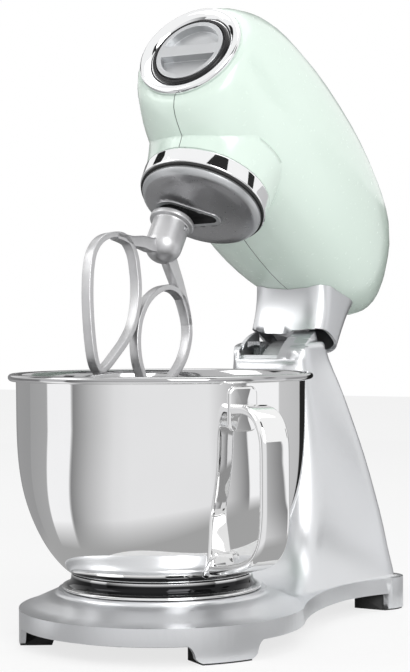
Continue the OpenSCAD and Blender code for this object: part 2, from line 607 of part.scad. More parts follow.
module outlet_shaft() color("lightgray") on_outlet() difference() {
  union() {
    translate([0, 0, 17]) cylinder(r = 5, h = 10);
    translate([0, 0, 26]) cylinder(r = 11, h = 32);
  }
  translate([-5, -5, 36]) cube([10, 10, 40]);
}
bevel_m = 1.5;
bevel_teeth = 16;
bevel_r = bevel_m * bevel_teeth / 2;
bevel_h = 5;
module bevel_gear() linear_extrude(bevel_h, scale = (bevel_r - bevel_h) / bevel_r)
  polygon(gear_points(bevel_m, bevel_teeth, 0.7 * bevel_m, 1.2 * bevel_m, 1.1));
module outlet_bevel() color("gray") on_outlet() difference() {
  union() {
    translate([0, 0, bevel_r]) rotate([180, 0, 180 / bevel_teeth]) bevel_gear();
    translate([0, 0, bevel_r]) cylinder(r = bevel_r - 1, h = 4);
  }
  translate([0, 0, -5]) cylinder(r = 3.5, h = 40);
}
track_half = 11;
track_y0 = 22;
track_y1 = 108;
lever_travel = 44;
module speed_track() color("gainsboro") in_head() difference() {
  translate([0, 0, 149]) round_plate(-track_half + 0.3, track_half - 0.3, track_y0 + 0.3, track_y1 - 0.3, 4.7, 4.4);
  translate([0, 0, 140]) round_plate(-2.2, 2.2, (track_y0 + track_y1 - lever_travel) / 2 - 5,
    (track_y0 + track_y1 + lever_travel) / 2 + 5, 2, 20);
}
module speed_lever() color("gainsboro") in_head() translate([0, (track_y0 + track_y1 + lever_travel) / 2, 0]) {
  translate([0, 0, 153.8]) round_plate(-8, 8, -5, 5, 4, 3.6);
  translate([0, 0, 142]) cylinder(r = 1.8, h = 12.5);
  translate([0, 0, 141]) cylinder(r = 4, h = 3);
}
module vent_grille() color("black") in_head() for (s = [-1, 1]) translate([s * 14 - 8, 216, 37.5])
  rotate([31, 0, 0]) cube([16, 38, 1.6]);
module control_board() color("green") in_head() {
  translate([-32, board_y, 50]) cube([64, 1.6, 60]);
  for (x = [-20, 0, 20]) translate([x - 5, board_y - 7, 88]) cube([10, 7, 14]);
  for (x = [-14, 5]) translate([x, board_y - 12, 62]) cube([9, 12, 20]);
}

// ---- hub and gears ------------------------------------------------------------------------
module hub_ring() color("gainsboro") in_head() rotate_extrude($fn = 96) polygon([[hub_r - 3, -hub_h],
  [hub_r - 1, -hub_h], [hub_r - 0.6, -hub_h + 0.6], [hub_r, -0.8], [hub_r - 0.4, 0], [hub_r - 3, 0]]);
module hub_gasket() color("black") in_head() translate([0, 0, -hub_h - 1.6]) ring(hub_r - 1.6, hub_r - 6, 1.5);
gear_z = -10.5;
gear_h = 6.5;
module ring_gear() color("gray") in_head() translate([0, 0, gear_z - 0.5]) difference() {
  cylinder(r = hub_r - 3.2, h = gear_h + 1, $fn = 96);
  translate([0, 0, -1]) linear_extrude(gear_h + 3)
    polygon(gear_points(planet_m, ring_teeth, 1.15 * planet_m, 0.85 * planet_m, -0.12));
}
lay_m = 1.25;
lay_teeth = 15;
main_teeth = 60;
lay_y = lay_m * (lay_teeth + main_teeth) / 2;
case_r = 42;
lay_floor = 5.6;
module case_plan(grow) {
  circle(case_r + grow, $fn = 96);
  translate([0, lay_y]) circle(16 + grow);
  translate([-16 - grow, 0]) square([32 + 2 * grow, lay_y]);
}
module gearbox_lower() color("darkgray") in_head() difference() {
  union() {
    translate([0, 0, -3.3]) cylinder(r = hub_r - 3.6, h = 6.3, $fn = 96);
    translate([0, 0, 2]) cylinder(r = case_r, h = 26, $fn = 96);
    translate([0, 0, lay_floor]) linear_extrude(28 - lay_floor) case_plan(0);
  }
  translate([0, 0, 6]) cylinder(r = case_r - 3, h = 40, $fn = 96);
  translate([0, 0, lay_floor + 3.4]) linear_extrude(30) case_plan(-3);
  translate([0, 0, -10]) cylinder(r = planet_e + 17, h = 13.2, $fn = 96);
  translate([0, 0, -10]) cylinder(r = main_r + fit_gap, h = 30);
  translate([0, lay_y, lay_floor + 2]) cylinder(r = 4 + fit_gap, h = 10);
  for (p = case_screws) translate([p.x, p.y, 10]) cylinder(r = 1.7, h = 30);
}
case_screws = [for (a = [205, 335, 25, 155]) 40.4 * [cos(a), sin(a)]];
module gearbox_cover() color("darkgray") in_head() difference() {
  union() {
    translate([0, 0, 28.2]) linear_extrude(4) case_plan(0);
    translate([0, 0, 30]) cylinder(r = 12, h = 14);
    translate([0, lay_y, 30]) cylinder(r = 9, h = 16);
  }
  translate([0, 0, 20]) cylinder(r = main_r + fit_gap, h = 40);
  translate([0, lay_y, 20]) cylinder(r = 4 + fit_gap, h = 40);
  for (p = case_screws) translate([p.x, p.y, 10]) cylinder(r = 2, h = 30);
}
module gearbox_screws() color("gray") in_head() for (p = case_screws) translate([p.x, p.y, 0]) {
  translate([0, 0, 20]) cylinder(r = 1.6, h = 14);
  translate([0, 0, 32.4]) cylinder(r = 3, h = 2);
}
disc_top = -hub_h - 2;
module planet_carrier() color("silver") in_head() difference() {
  union() {
    rotate_extrude($fn = 96) polygon([[0, disc_top], [hub_r - 3.4, disc_top], [hub_r - 3.6, disc_top - 1.8],
      [hub_r - 4.6, disc_top - 3.9], [hub_r - 7.4, disc_top - 6], [38, disc_top - 7.9], [20, disc_top - 9],
      [0, disc_top - 9.4]]);
    // raised rim of the drop-shaped recess round the beater shaft
    translate([-planet_e, 0, disc_top - 10]) linear_extrude(8) drop_plan(0);
    translate([0, 0, disc_top - e]) cylinder(r = 5.3 + main_r, h = 2.2);
    translate([-planet_e, 0, disc_top - e]) cylinder(r = 11, h = 3);
  }
  translate([-planet_e, 0, disc_top - 20]) linear_extrude(16) drop_plan(-3);
  translate([-planet_e, 0, -60]) cylinder(r = shaft_r + fit_gap, h = 100);
  translate([0, 0, disc_top - 6]) cylinder(r = main_r + fit_gap, h = 30);
}
// two circles and their outer tangents
drop_far = [29.75, 8];
drop_r = 17;
drop_tip = 7.5;
module drop_plan(grow) {
  d = norm(drop_far);
  t = atan2(drop_far.y, drop_far.x);
  f = acos((drop_r - drop_tip) / d);
  polygon(concat(
    [for (i = [0:36]) let (a = t + f + (360 - 2 * f) * i / 36) (drop_r + grow) * [cos(a), sin(a)]],
    [for (i = [0:24]) let (a = t - f + 2 * f * i / 24) drop_far + (drop_tip + grow) * [cos(a), sin(a)]]));
}
module main_shaft() color("lightgray") in_head() translate([0, 0, disc_top - 5.8])
  cylinder(r = main_r, h = outlet_z - bevel_r + bevel_h - 0.6 - disc_top + 5.8);
module main_gear() color("gray") in_head() difference() {
  translate([0, 0, 12]) gear(lay_m, main_teeth, 10, 0.12);
  translate([0, 0, 0]) cylinder(r = main_r + fit_gap, h = 40);
  for (k = [0:5]) rotate([0, 0, 60 * k]) translate([21, 0, 0]) cylinder(r = 7, h = 40);
}
module bevel_pinion() color("gray") in_head() difference() {
  union() {
    translate([0, 0, outlet_z - bevel_r]) bevel_gear();
    translate([0, 0, outlet_z - bevel_r - 6]) cylinder(r = bevel_r - 2, h = 6 + e);
  }
  cylinder(r = main_r + fit_gap, h = 100);
}
module layshaft() color("lightgray") in_head() translate([0, lay_y, lay_floor + 2.3]) cylinder(r = 4, h = 88);
module layshaft_pinion() color("gray") in_head() translate([0, lay_y, 11.5]) rotate([0, 0, -6]) difference() {
  gear(lay_m, lay_teeth, 11, 0.4);
  translate([0, 0, -1]) cylinder(r = 4 + fit_gap, h = 20);
}
belt_z = 84;
belt_h = 9;
pulley_r = 34;
motor_y = 150;
motor_pulley_r = 10;
module pulley(r, bore) difference() {
  union() {
    cylinder(r = r, h = belt_h, $fn = 96);
    for (z = [-1.6, belt_h]) translate([0, 0, z]) cylinder(r = r + 2.2, h = 1.6, $fn = 96);
  }
  translate([0, 0, -5]) cylinder(r = bore, h = 30);
  if (r > 20) for (k = [0:4]) rotate([0, 0, 72 * k]) translate([r * 0.58, 0, -5]) cylinder(r = r * 0.24, h = 30);
}
module belt_pulley() color("dimgray") in_head() translate([0, lay_y, belt_z]) pulley(pulley_r, 4 + fit_gap);
module motor_pulley() color("dimgray") in_head() translate([0, motor_y, belt_z]) pulley(motor_pulley_r, 3 + fit_gap);
// the line of the belt round both pulleys
function belt_line(grow) = let (wrap = asin((pulley_r - motor_pulley_r) / (motor_y - lay_y))) concat(
  [for (k = [0:24]) let (a = wrap - (180 + 2 * wrap) * k / 24)
    [(pulley_r + grow) * cos(a), lay_y + (pulley_r + grow) * sin(a)]],
  [for (k = [0:16]) let (a = 180 - wrap - (180 - 2 * wrap) * k / 16)
    [(motor_pulley_r + grow) * cos(a), motor_y + (motor_pulley_r + grow) * sin(a)]]);
module drive_belt() color("black") in_head() translate([0, 0, belt_z + 0.5]) linear_extrude(belt_h - 1) difference() {
  polygon(belt_line(1.9));
  polygon(belt_line(0.35));
}
motor_z = 24;
motor_h = 54;
motor_r = 37;
module motor_can() color("gray") in_head() translate([0, motor_y, motor_z]) difference() {
  union() {
    cylinder(r = motor_r, h = motor_h, $fn = 96);
    translate([0, 0, motor_h - e]) cylinder(r = 9, h = 3);
    for (k = [0:3]) rotate([0, 0, 90 * k + 45]) translate([22, 0, plate_z + 4 - motor_z]) cylinder(r = 4, h = 6);
  }
  translate([0, 0, 2.5]) cylinder(r = motor_r - 2.5, h = motor_h - 5, $fn = 96);
  translate([0, 0, -5]) cylinder(r = 3 + fit_gap, h = 90);
  for (k = [0:7]) rotate([0, 0, 45 * k]) translate([motor_r - 12, -4, motor_h - 4]) cube([8, 8, 10]);
}
module motor_stator() color("sienna") in_head() translate([0, motor_y, motor_z + 8]) difference() {
  cylinder(r = motor_r - 2.8, h = 30, $fn = 96);
  translate([0, 0, -1]) cylinder(r = 21.5, h = 40);
  for (s = [0, 180]) rotate([0, 0, s + 20]) translate([18, -9, -1]) cube([10, 18, 40]);
}
module motor_rotor() color("peru") in_head() translate([0, motor_y, motor_z]) {
  translate([0, 0, plate_z + 4.4 - motor_z]) cylinder(r = 3, h = belt_z - plate_z + belt_h - 2.4);
  translate([0, 0, 8]) cylinder(r = 20.8, h = 30);
  translate([0, 0, 40]) cylinder(r = 9, h = 8);
}
module motor_fan() color("black") in_head() translate([0, motor_y, motor_z + 3.2]) difference() {
  union() {
    cylinder(r = 26, h = 1);
    translate([0, 0, 1 - e]) linear_extrude(3) union() {
      circle(8);
      for (k = [0:8]) rotate(40 * k) translate([6, -0.6]) square([19, 1.2]);
    }
  }
  translate([0, 0, -1]) cylinder(r = 3 + fit_gap, h = 10);
}
shaft_low = -57.5;
module beater_shaft() color("gray") on_planet() difference() {
  translate([0, 0, shaft_low]) cylinder(r = shaft_r, h = gear_z + gear_h + 0.5 - shaft_low);
  translate([-20, 0, pin_z]) rotate([0, 90, 0]) cylinder(r = drive_pin_r, h = 40);
}
module planet_pinion() color("gray") on_planet() translate([0, 0, gear_z]) rotate([0, 0, 180 - 180 / planet_teeth])
  difference() {
    gear(planet_m, planet_teeth, gear_h, 0.35);
    translate([0, 0, -1]) cylinder(r = shaft_r + fit_gap, h = 20);
  }
// coil that pushes the beater down on its pin
module shaft_spring() color("dimgray") on_planet() for (k = [0:2]) translate([0, 0, disc_top - 5.9 - 2.2 * k])
  ring(9.6, shaft_r + 0.9, 1.5);
module drive_pin() color("lightgray") on_planet() translate([-hub_out + 1.2, 0, pin_z]) rotate([0, 90, 0])
  cylinder(r = drive_pin_r, h = 2 * hub_out - 2.4);
drive_pin_r = 2;
hub_top = -28;
hub_low = -71;
hub_out = 15;
pin_z = hub_top - 10.5;
beater_lift = 2;
module flat_beater() color("silver") on_planet() rotate([0, 0, beater_dir]) difference() {
  union() {
    translate([0, 0, hub_low + hub_out]) cylinder(r = hub_out, h = hub_top - hub_low - hub_out - 6);
    intersection() {
      translate([0, 0, hub_low + hub_out]) sphere(hub_out);
      translate([0, 0, hub_low - 1]) cylinder(r = 40, h = hub_out + 1.01);
    }
    translate([0, 0, hub_top - 7]) cylinder(r = 18.4, h = 7);
    rotate([90, 0, 0]) translate([0, 0, -band_t / 2]) linear_extrude(band_t) {
      loop_band(front_loop, -1);
      loop_band(rear_loop, 1);
      // arms from the hub to the tops of the loops
      polygon([[-7, -56.5], [-24, -65.5], [-40, -76], [-49, -80], [-46, -84], [-37, -82.5], [-23, -74], [-7, -67]]);
      polygon([[7, -57], [20, -65], [37, -77.5], [52, -92], [48, -95], [38, -87], [18, -75], [7, -68]]);
    }
  }
  // blind bore for the shaft and the bayonet slots for its pin
  translate([0, 0, shaft_low - beater_lift - 1]) cylinder(r = shaft_r + run_gap, h = 60);
  rotate([0, 0, -beater_dir]) translate([-40, -2.5, pin_z - beater_lift - 2.5]) cube([80, 5, beater_lift + 5]);
}
// middle line of the loops, as distance from the shaft and depth below the hub ring
front_loop = [[-43, 79.5], [-56, 87], [-64, 98], [-66.2, 111], [-63, 124], [-58, 135.5], [-52, 147], [-44, 160],
  [-35, 173], [-26, 183.5], [-18.5, 187], [-13.5, 180], [-8.5, 165], [-4.6, 151], [-2.8, 136], [-5.8, 120],
  [-11, 107], [-18.5, 95], [-29, 83.5]];
rear_loop = [[26, 82], [36, 83], [44, 87.5], [51.5, 96], [57, 106], [59.6, 118], [59.4, 130], [55.5, 145],
  [49, 159], [41.5, 170], [33.5, 171], [25, 164.5], [15.5, 156.5], [8, 146], [3.2, 135], [1, 124], [2, 110],
  [7.5, 96.5], [16, 86.5]];
function loop_point(pts, u) = let (n = len(pts), i = floor(u) % n, k = u - floor(u))
  blend4(pts[(i + n - 1) % n], pts[i], pts[(i + 1) % n], pts[(i + 2) % n], k);
function loop_side(pts, off) = let (n = len(pts)) [for (j = [0:4 * n - 1]) let (u = j / 4,
    p = loop_point(pts, u), t = loop_point(pts, u + 0.02) - loop_point(pts, u + n - 0.02), q = t / norm(t))
  [loop_reach * p.x + off * q.y, -p.y + off * q.x]];
module loop_band(pts, turn) difference() {
  polygon(loop_side(pts, turn * band_w / 2));
  polygon(loop_side(pts, -turn * band_w / 2));
}

// ---- bowl ---------------------------------------------------------------------------------
bowl_low = seat_z + 9;
floor_r = foot_r - 8.8;
rim_r = bowl_r + rim_out;
// radius of the wall at a share of the way from the floor's edge out to the full radius
function belly(k) = floor_r + (bowl_r - floor_r) * k;
// outer profile of the bowl from its floor to the rim, as rows of radius and height
bowl_rows = [[0, bowl_low - 3], [floor_r - 38, bowl_low - 2.6], [floor_r - 13, bowl_low - 0.6], [floor_r, seat_z + 11.5],
  [belly(5 / 43), 55], [belly(14.5 / 43), 64.5], [belly(24 / 43), 78.5], [belly(33 / 43), 98], [belly(39.5 / 43), 120],
  [belly(42.4 / 43), 145], [bowl_r, 168], [bowl_r, 190], [bowl_r + 0.2, rim_z - 3]];
function bowl_side(inset) = [for (i = [0:36]) let (p = along(bowl_rows, i / 3), q = along(bowl_rows, min(i / 3 + 0.01, 12)),
    o = along(bowl_rows, max(i / 3 - 0.01, 0)), t = (q - o) / norm(q - o)) [max(p.x - inset * t.y, 0), p.y + inset * t.x]];
module bowl() color("gainsboro") on_table() union() {
  rotate_extrude($fn = 128) polygon(concat(bowl_side(0), [[rim_r - 3, rim_z - 2.8], [rim_r - 0.8, rim_z - 2],
    [rim_r, rim_z], [rim_r - 0.8, rim_z + 2], [rim_r - 3, rim_z + 2.8], [rim_r - 5.4, rim_z + 2],
    [bowl_r - bowl_t + 0.2, rim_z - 2]], [for (i = [36:-1:0]) bowl_side(bowl_t)[i]]));
}
// the room the bowl takes up, with its hollow
module bowl_room() rotate_extrude($fn = 128) polygon(concat([[0, 250]], bowl_side(-0.08), [[bowl_r + 0.4, 250]]));
// spun ring with three lugs that turn under the lugs of the lock plate
module bowl_foot() color("gainsboro") on_table() difference() {
  union() {
    rotate_extrude($fn = 128) polygon(concat(
      [[foot_r - 3, seat_z + 0.3], [foot_r, seat_z + 0.8], [foot_r, seat_z + 2.2]],
      [for (a = [0:15:75]) [foot_r - 0.8 - 6.2 * sin(a), seat_z + 8.6 - 6.2 * cos(a)]],
      [[foot_r - 7, seat_z + 9.6], [foot_r - 7, seat_z + 15], [foot_r - 9, seat_z + 15], [foot_r - 9.6, seat_z + 5],
        [foot_r - 8, seat_z + 2.2], [foot_r - 8, seat_z + 0.3]]));
    for (k = [0:2]) rotate([0, 0, 120 * k + 10]) translate([0, 0, seat_z + 0.4])
      rotate_extrude(angle = 24) translate([lock_r - 6, 0]) square([foot_r - lock_r - 1.5, 1.2]);
  }
  bowl_room();
}
// centre line of the handle strap in its own upright plane, as rows of reach and height
handle_rows = [[bowl_r + 3.7, 199], [bowl_r + 3.7, 189], [bowl_r + 14, 184], [handle_reach - 14, 178],
  [handle_reach - 5.2, 165], [handle_reach - 3.6, 150], [handle_reach - 3.6, 124], [handle_reach - 4, 102],
  [handle_reach - 9, 84], [handle_reach - 24, 72], [bowl_r - 1, 67], [bowl_r - 12, 65.5]];
function handle_side(off) = [for (i = [0:33]) let (p = along(handle_rows, i / 3),
    q = along(handle_rows, min(i / 3 + 0.01, 11)), o = along(handle_rows, max(i / 3 - 0.01, 0)), t = (q - o) / norm(q - o))
  p + off * [t.y, -t.x]];
module bowl_handle() color("gainsboro") on_table() rotate([0, 0, handle_dir]) difference() {
  rotate([90, 0, 0]) translate([0, 0, -handle_w / 2]) linear_extrude(handle_w)
    polygon(concat(handle_side(-handle_t / 2), [for (i = [33:-1:0]) handle_side(handle_t / 2)[i]]));
  bowl_room();
}

base_casting();
base_cover();
rubber_feet();
bowl_lock_plate();
cord_gland();
hinge_pin();
hinge_bushes();
release_button();
button_spring();
latch_lever();
latch_pin();
cover_screws();
head_shell_right();
head_shell_left();
neck_collar();
head_chassis();
outlet_bezel();
outlet_ring();
outlet_cap();
outlet_bearing();
outlet_shaft();
outlet_bevel();
speed_track();
speed_lever();
vent_grille();
control_board();
hub_ring();
hub_gasket();
ring_gear();
gearbox_lower();
gearbox_cover();
planet_carrier();
main_shaft();
main_gear();
bevel_pinion();
beater_shaft();
planet_pinion();
shaft_spring();
drive_pin();
layshaft();
layshaft_pinion();
belt_pulley();
drive_belt();
motor_can();
motor_stator();
motor_rotor();
motor_pulley();
motor_fan();
flat_beater();
bowl();
bowl_foot();
bowl_handle();
gearbox_screws();
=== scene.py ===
import json
import math
import bmesh
import bpy
import numpy as np
from mathutils import Matrix, Vector


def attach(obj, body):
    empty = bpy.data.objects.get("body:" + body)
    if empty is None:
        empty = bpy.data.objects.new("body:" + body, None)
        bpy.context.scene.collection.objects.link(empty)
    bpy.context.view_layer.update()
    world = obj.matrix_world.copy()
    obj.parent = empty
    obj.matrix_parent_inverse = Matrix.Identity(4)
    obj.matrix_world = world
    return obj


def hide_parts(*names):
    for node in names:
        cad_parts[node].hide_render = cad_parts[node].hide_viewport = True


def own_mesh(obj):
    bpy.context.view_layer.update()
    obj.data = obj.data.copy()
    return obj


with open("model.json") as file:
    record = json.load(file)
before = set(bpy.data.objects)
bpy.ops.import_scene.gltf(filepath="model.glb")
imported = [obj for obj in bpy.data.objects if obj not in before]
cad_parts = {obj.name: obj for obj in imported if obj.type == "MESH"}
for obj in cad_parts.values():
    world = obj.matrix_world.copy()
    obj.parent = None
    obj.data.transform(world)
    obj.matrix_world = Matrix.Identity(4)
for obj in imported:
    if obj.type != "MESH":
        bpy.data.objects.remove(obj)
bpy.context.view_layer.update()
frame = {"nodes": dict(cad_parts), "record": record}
nodes = frame["nodes"]
bodies = frame["record"]["behaviour"]["bodies"]
nodeBody = {node: body for body, members in bodies.items() for node in members}
print("frame loaded with", len(nodes), "nodes")

# drawings are in millimetres: the table drawing stands on the bowl's axis, and the head drawing has z = 0 at
# the top edge of the hub ring with the head down
layout = {
    "mm": 0.001,                         # a millimetre in metres
    "bowlX": -13.5, "bowlY": -116.5,     # where the bowl's axis stands
    "hingeY": 213.5, "hingeZ": 181.7,    # hinge, from the bowl's axis and the table
    "hubZ": 242.0,                       # top edge of the hub ring with the head down
    "outletZ": 74.0,                     # outlet's axis above the hub ring
    "tilt": math.radians(34.4),          # how far the head is tipped back
    "mergeWithin": 2e-6,                 # points nearer than this are one, in metres
    "sliver": 1e-7,                      # edges shorter than this go
}


def tipped(y, z, way=1):
    # turn by the tilt: y cos + z sin and z cos - y sin; way -1 turns the other way
    c, s = math.cos(layout["tilt"]), way * math.sin(layout["tilt"])
    return y * c + z * s, z * c - y * s


def tablePoints(p):
    # table drawing moved to the part's origin and scaled to metres
    return (np.asarray(p, float) + [layout["bowlX"], layout["bowlY"], 0.0]) * layout["mm"]


def headPoints(p):
    # head drawing lifted to the hub's height and turned back about the hinge by the tilt
    p = np.asarray(p, float)
    y, z = tipped(p[..., 1] - layout["hingeY"], p[..., 2] + layout["hubZ"] - layout["hingeZ"])
    return tablePoints(np.stack([p[..., 0], layout["hingeY"] + y, layout["hingeZ"] + z], -1))


def headDrawing(points):
    # the way back: metres in the part's frame to millimetres on the head drawing
    p = np.asarray(points, float) / layout["mm"] - [layout["bowlX"], layout["bowlY"], 0.0]
    y, z = tipped(p[..., 1] - layout["hingeY"], p[..., 2] - layout["hingeZ"], -1)
    return np.stack([p[..., 0], layout["hingeY"] + y, z - layout["hubZ"] + layout["hingeZ"]], -1)


def headDirections(d):
    # directions on the head drawing turned into the part's frame
    return np.stack([d[..., 0], *tipped(d[..., 1], d[..., 2])], -1)


def outletPoints(p):
    # x, y across the outlet and z out of the front of the head
    return headPoints(np.stack([p[..., 0], -p[..., 2], layout["outletZ"] + p[..., 1]], -1))


def curveThrough(rows, perSpan, closed=False):
    # smooth curve through rows of values, perSpan points to a span: each point blends the four rows nearest
    # to it, a to d, by cubic weights of its share t of the span from b to c
    rows = np.asarray(rows, float)
    n = len(rows)
    u = np.arange(n * perSpan if closed else (n - 1) * perSpan + 1) / perSpan
    i = np.floor(u).astype(int) if closed else np.minimum(np.floor(u).astype(int), n - 2)
    t = (u - i)[:, None]
    a, b, c, d = (rows[(i + k) % n if closed else np.clip(i + k, 0, n - 1)] for k in (-1, 0, 1, 2))
    square, cube = 2 * a - 5 * b + 4 * c - d, 3 * b - a - 3 * c + d
    return 0.5 * (2 * b + (c - a) * t + square * t ** 2 + cube * t ** 3)


def evened(line, times):
    # line of points drawn towards the mean of its neighbours, over and over; the ends stay
    line = np.array(line, float)
    for _ in range(times):
        line[1:-1] = (line[:-2] + 2 * line[1:-1] + line[2:]) / 4
    return line


def unitSteps(line, closed=False):
    # directions of length 1 along a line, from each point's two neighbours
    step = np.roll(line, -1, 0) - np.roll(line, 1, 0) if closed else np.gradient(line, axis=0)
    return step / np.linalg.norm(step, axis=1, keepdims=True)


def gridFaces(rows, cols, wrapRows=False, wrapCols=False):
    # quads of a grid of rows by cols points, joined round where a side wraps
    i = np.arange(rows if wrapRows else rows - 1)[:, None]
    j = np.arange(cols if wrapCols else cols - 1)[None, :]
    ni, nj = (i + 1) % rows, (j + 1) % cols
    return np.stack([i * cols + j, i * cols + nj, ni * cols + nj, ni * cols + j], -1).reshape(-1, 4)


def tubeFaces(rows, cols):
    # quads round a tube, and one face over each of its ends
    first = np.arange(cols)[None]
    return [gridFaces(rows, cols, wrapCols=True), first[:, ::-1], first + (rows - 1) * cols]


def joined(surfaces):
    # several surfaces as one: points in a row, and faces counted on from the points before them
    starts = np.cumsum([0] + [len(points) for points, groups in surfaces])
    faces = [group + start for start, (points, groups) in zip(starts, surfaces) for group in groups]
    return np.concatenate([points for points, groups in surfaces]), faces


def lathe(profile, sides, place, start=0.0, sweep=2 * math.pi):
    # radius and height carried round an axis: x = r cos a, y = r sin a, z = height
    profile = np.asarray(profile, float)
    whole = sweep == 2 * math.pi
    a = start + sweep * np.arange(sides if whole else sides + 1) / sides
    r, z = profile[:, :1], profile[:, 1:]
    points = np.stack([r * np.cos(a), r * np.sin(a), np.broadcast_to(z, (len(profile), len(a)))], -1)
    return place(points).reshape(-1, 3), [gridFaces(len(profile), len(a), wrapCols=whole)]


def carried(line, section, width=1.0, closed=False):
    # section carried along a line in a plane: its first value, times width, lies square to the line in the
    # plane and its second stands square to the plane
    along = unitSteps(line, closed)
    across = np.stack([-along[:, 1], along[:, 0]], -1)
    scale = np.broadcast_to(width, len(line))[:, None, None]
    flat = line[:, None, :] + section[None, :, :1] * scale * across[:, None, :]
    return np.stack([flat[..., 0], np.broadcast_to(section[:, 1], flat.shape[:2]), flat[..., 1]], -1)


def roundedProfile(corners, closed=False, steps=5):
    # outline through corners of radius, height and rounding: each corner is a curve that touches its sides at
    # s and e, (1-t)^2 s + 2t(1-t) p + t^2 e, and takes less than half of each; a closed one ends at its start
    out, n = [], len(corners)
    t = np.linspace(0, 1, steps)[:, None]
    for k, (r, z, rounding) in enumerate(corners):
        p = np.array([r, z], float)
        if rounding <= 0 or (not closed and k in (0, n - 1)):
            out.append(p[None])
            continue
        a, b = np.array(corners[k - 1][:2]) - p, np.array(corners[(k + 1) % n][:2]) - p
        la, lb = np.linalg.norm(a), np.linalg.norm(b)
        reach = min(rounding, 0.49 * la, 0.49 * lb)
        s, e = p + a / la * reach, p + b / lb * reach
        out.append((1 - t) ** 2 * s + 2 * t * (1 - t) * p + t ** 2 * e)
    return np.concatenate(out + [out[0][:1]] if closed else out)


def roundedSection(width, height, corner, perCorner=5):
    # rectangle of width by height with round corners, as points about its middle
    turn = np.arange(4)[:, None] * math.pi / 2 + np.linspace(0, math.pi / 2, perCorner)
    sideX, sideY = np.array([[1, -1, -1, 1], [1, 1, -1, -1]])[:, :, None]
    return np.stack([sideX * (width / 2 - corner) + corner * np.cos(turn),
                     sideY * (height / 2 - corner) + corner * np.sin(turn)], -1).reshape(-1, 2)


def addObject(name, data):
    # new object of the data, linked into the scene
    thing = bpy.data.objects.new(name, data)
    bpy.context.scene.collection.objects.link(thing)
    return thing


def cleaned(mesh, change):
    # mesh merged at its seams and poles, without slivers, and changed further while it is open
    work = bmesh.new()
    work.from_mesh(mesh)
    bmesh.ops.remove_doubles(work, verts=work.verts, dist=layout["mergeWithin"])
    bmesh.ops.dissolve_degenerate(work, edges=work.edges, dist=layout["sliver"])
    change(work)
    work.to_mesh(mesh)
    work.free()


def makePiece(name, surface, material, node, sharp, second=None):
    # surface as one mesh that stands for a node, facing outwards, smooth but for edges past the sharp angle;
    # second is another finish and, for each face, whether it takes it
    mesh = bpy.data.meshes.new(name)
    points, groups = surface
    mesh.from_pydata(points.tolist(), [], [face for group in groups for face in group.tolist()])
    if second:
        mesh.polygons.foreach_set("material_index", second[1].astype(np.int32))
    cleaned(mesh, lambda work: bmesh.ops.recalc_face_normals(work, faces=work.faces))
    mesh.shade_smooth()
    mesh.set_sharp_from_angle(angle=math.radians(sharp))
    mesh.materials.append(material)
    if second:
        mesh.materials.append(second[0])
    piece = addObject(name, mesh)
    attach(piece, nodeBody[node])
    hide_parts(node)
    return piece


# degrees that still count as flat, steps across the bevel, and degrees that count as an edge
bevelShape = {"flat": 0.5, "segments": 2, "edge": 35.0}


def dressedCopy(node, material, sharp=30.0, bevel=0.0, normalOf=None, closeOff=None, others=None):
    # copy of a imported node, smooth but for its edges: bevel rounds them by so many millimetres, normalOf
    # gives exact normals, closeOff tells which faces go before their hole is filled, and others holds further
    # finishes and the function that picks one by place
    def change(work):
        if bevel:
            bmesh.ops.dissolve_limit(work, angle_limit=math.radians(bevelShape["flat"]), verts=work.verts,
                                     edges=work.edges)
        if closeOff:
            bmesh.ops.delete(work, geom=[face for face in work.faces if closeOff(face)], context="FACES")
            bmesh.ops.holes_fill(work, edges=work.edges, sides=0)

    mesh = nodes[node].data.copy()
    cleaned(mesh, change)
    mesh.materials.clear()
    mesh.materials.append(material)
    if others:
        middles = np.empty(len(mesh.polygons) * 3)
        mesh.polygons.foreach_get("center", middles)
        for extra in others[0]:
            mesh.materials.append(extra)
        mesh.polygons.foreach_set("material_index", others[1](middles.reshape(-1, 3)).astype(np.int32))
    mesh.shade_smooth()
    mesh.set_sharp_from_angle(angle=math.radians(sharp))
    if normalOf:
        giveNormals(mesh, normalOf)
    piece = addObject(node + "_dressed", mesh)
    if bevel:
        rounding = piece.modifiers.new("roundedEdges", "BEVEL")
        rounding.width = bevel * layout["mm"]
        rounding.segments = bevelShape["segments"]
        rounding.limit_method = "ANGLE"
        rounding.angle_limit = math.radians(bevelShape["edge"])
        rounding.harden_normals = True
    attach(piece, nodeBody[node])
    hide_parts(node)
    return piece


def giveNormals(mesh, normalOf, alike=0.94):
    # corners whose face lies along the drawn surface (cosine above alike) take its exact normal
    where = np.empty(len(mesh.vertices) * 3)
    mesh.vertices.foreach_get("co", where)
    loopVertex = np.empty(len(mesh.loops), np.int32)
    mesh.loops.foreach_get("vertex_index", loopVertex)
    own = np.empty(len(mesh.loops) * 3, np.float32)
    mesh.corner_normals.foreach_get("vector", own)
    faceNormal = np.empty(len(mesh.polygons) * 3)
    mesh.polygons.foreach_get("normal", faceNormal)
    corners = np.empty(len(mesh.polygons), np.int32)
    mesh.polygons.foreach_get("loop_total", corners)
    faceNormal = np.repeat(faceNormal.reshape(-1, 3), corners, axis=0)
    drawn, valid = normalOf(where.reshape(-1, 3)[loopVertex])
    use = valid & ((drawn * faceNormal).sum(1) > alike)
    mesh.normals_split_custom_set(np.where(use[:, None], drawn, own.reshape(-1, 3)).tolist())


def opened(material):
    # what a change to a finish needs: its tree, its shader and the object's own coordinates
    tree = material.node_tree
    return tree, tree.nodes["Principled BSDF"], tree.nodes["Texture Coordinate"].outputs["Object"]


def startMaterial(name):
    # new material with object coordinates, and what a change to it needs
    material = bpy.data.materials.new(name)
    material.use_nodes = True
    material.node_tree.nodes.new("ShaderNodeTexCoord")
    return material, *opened(material)


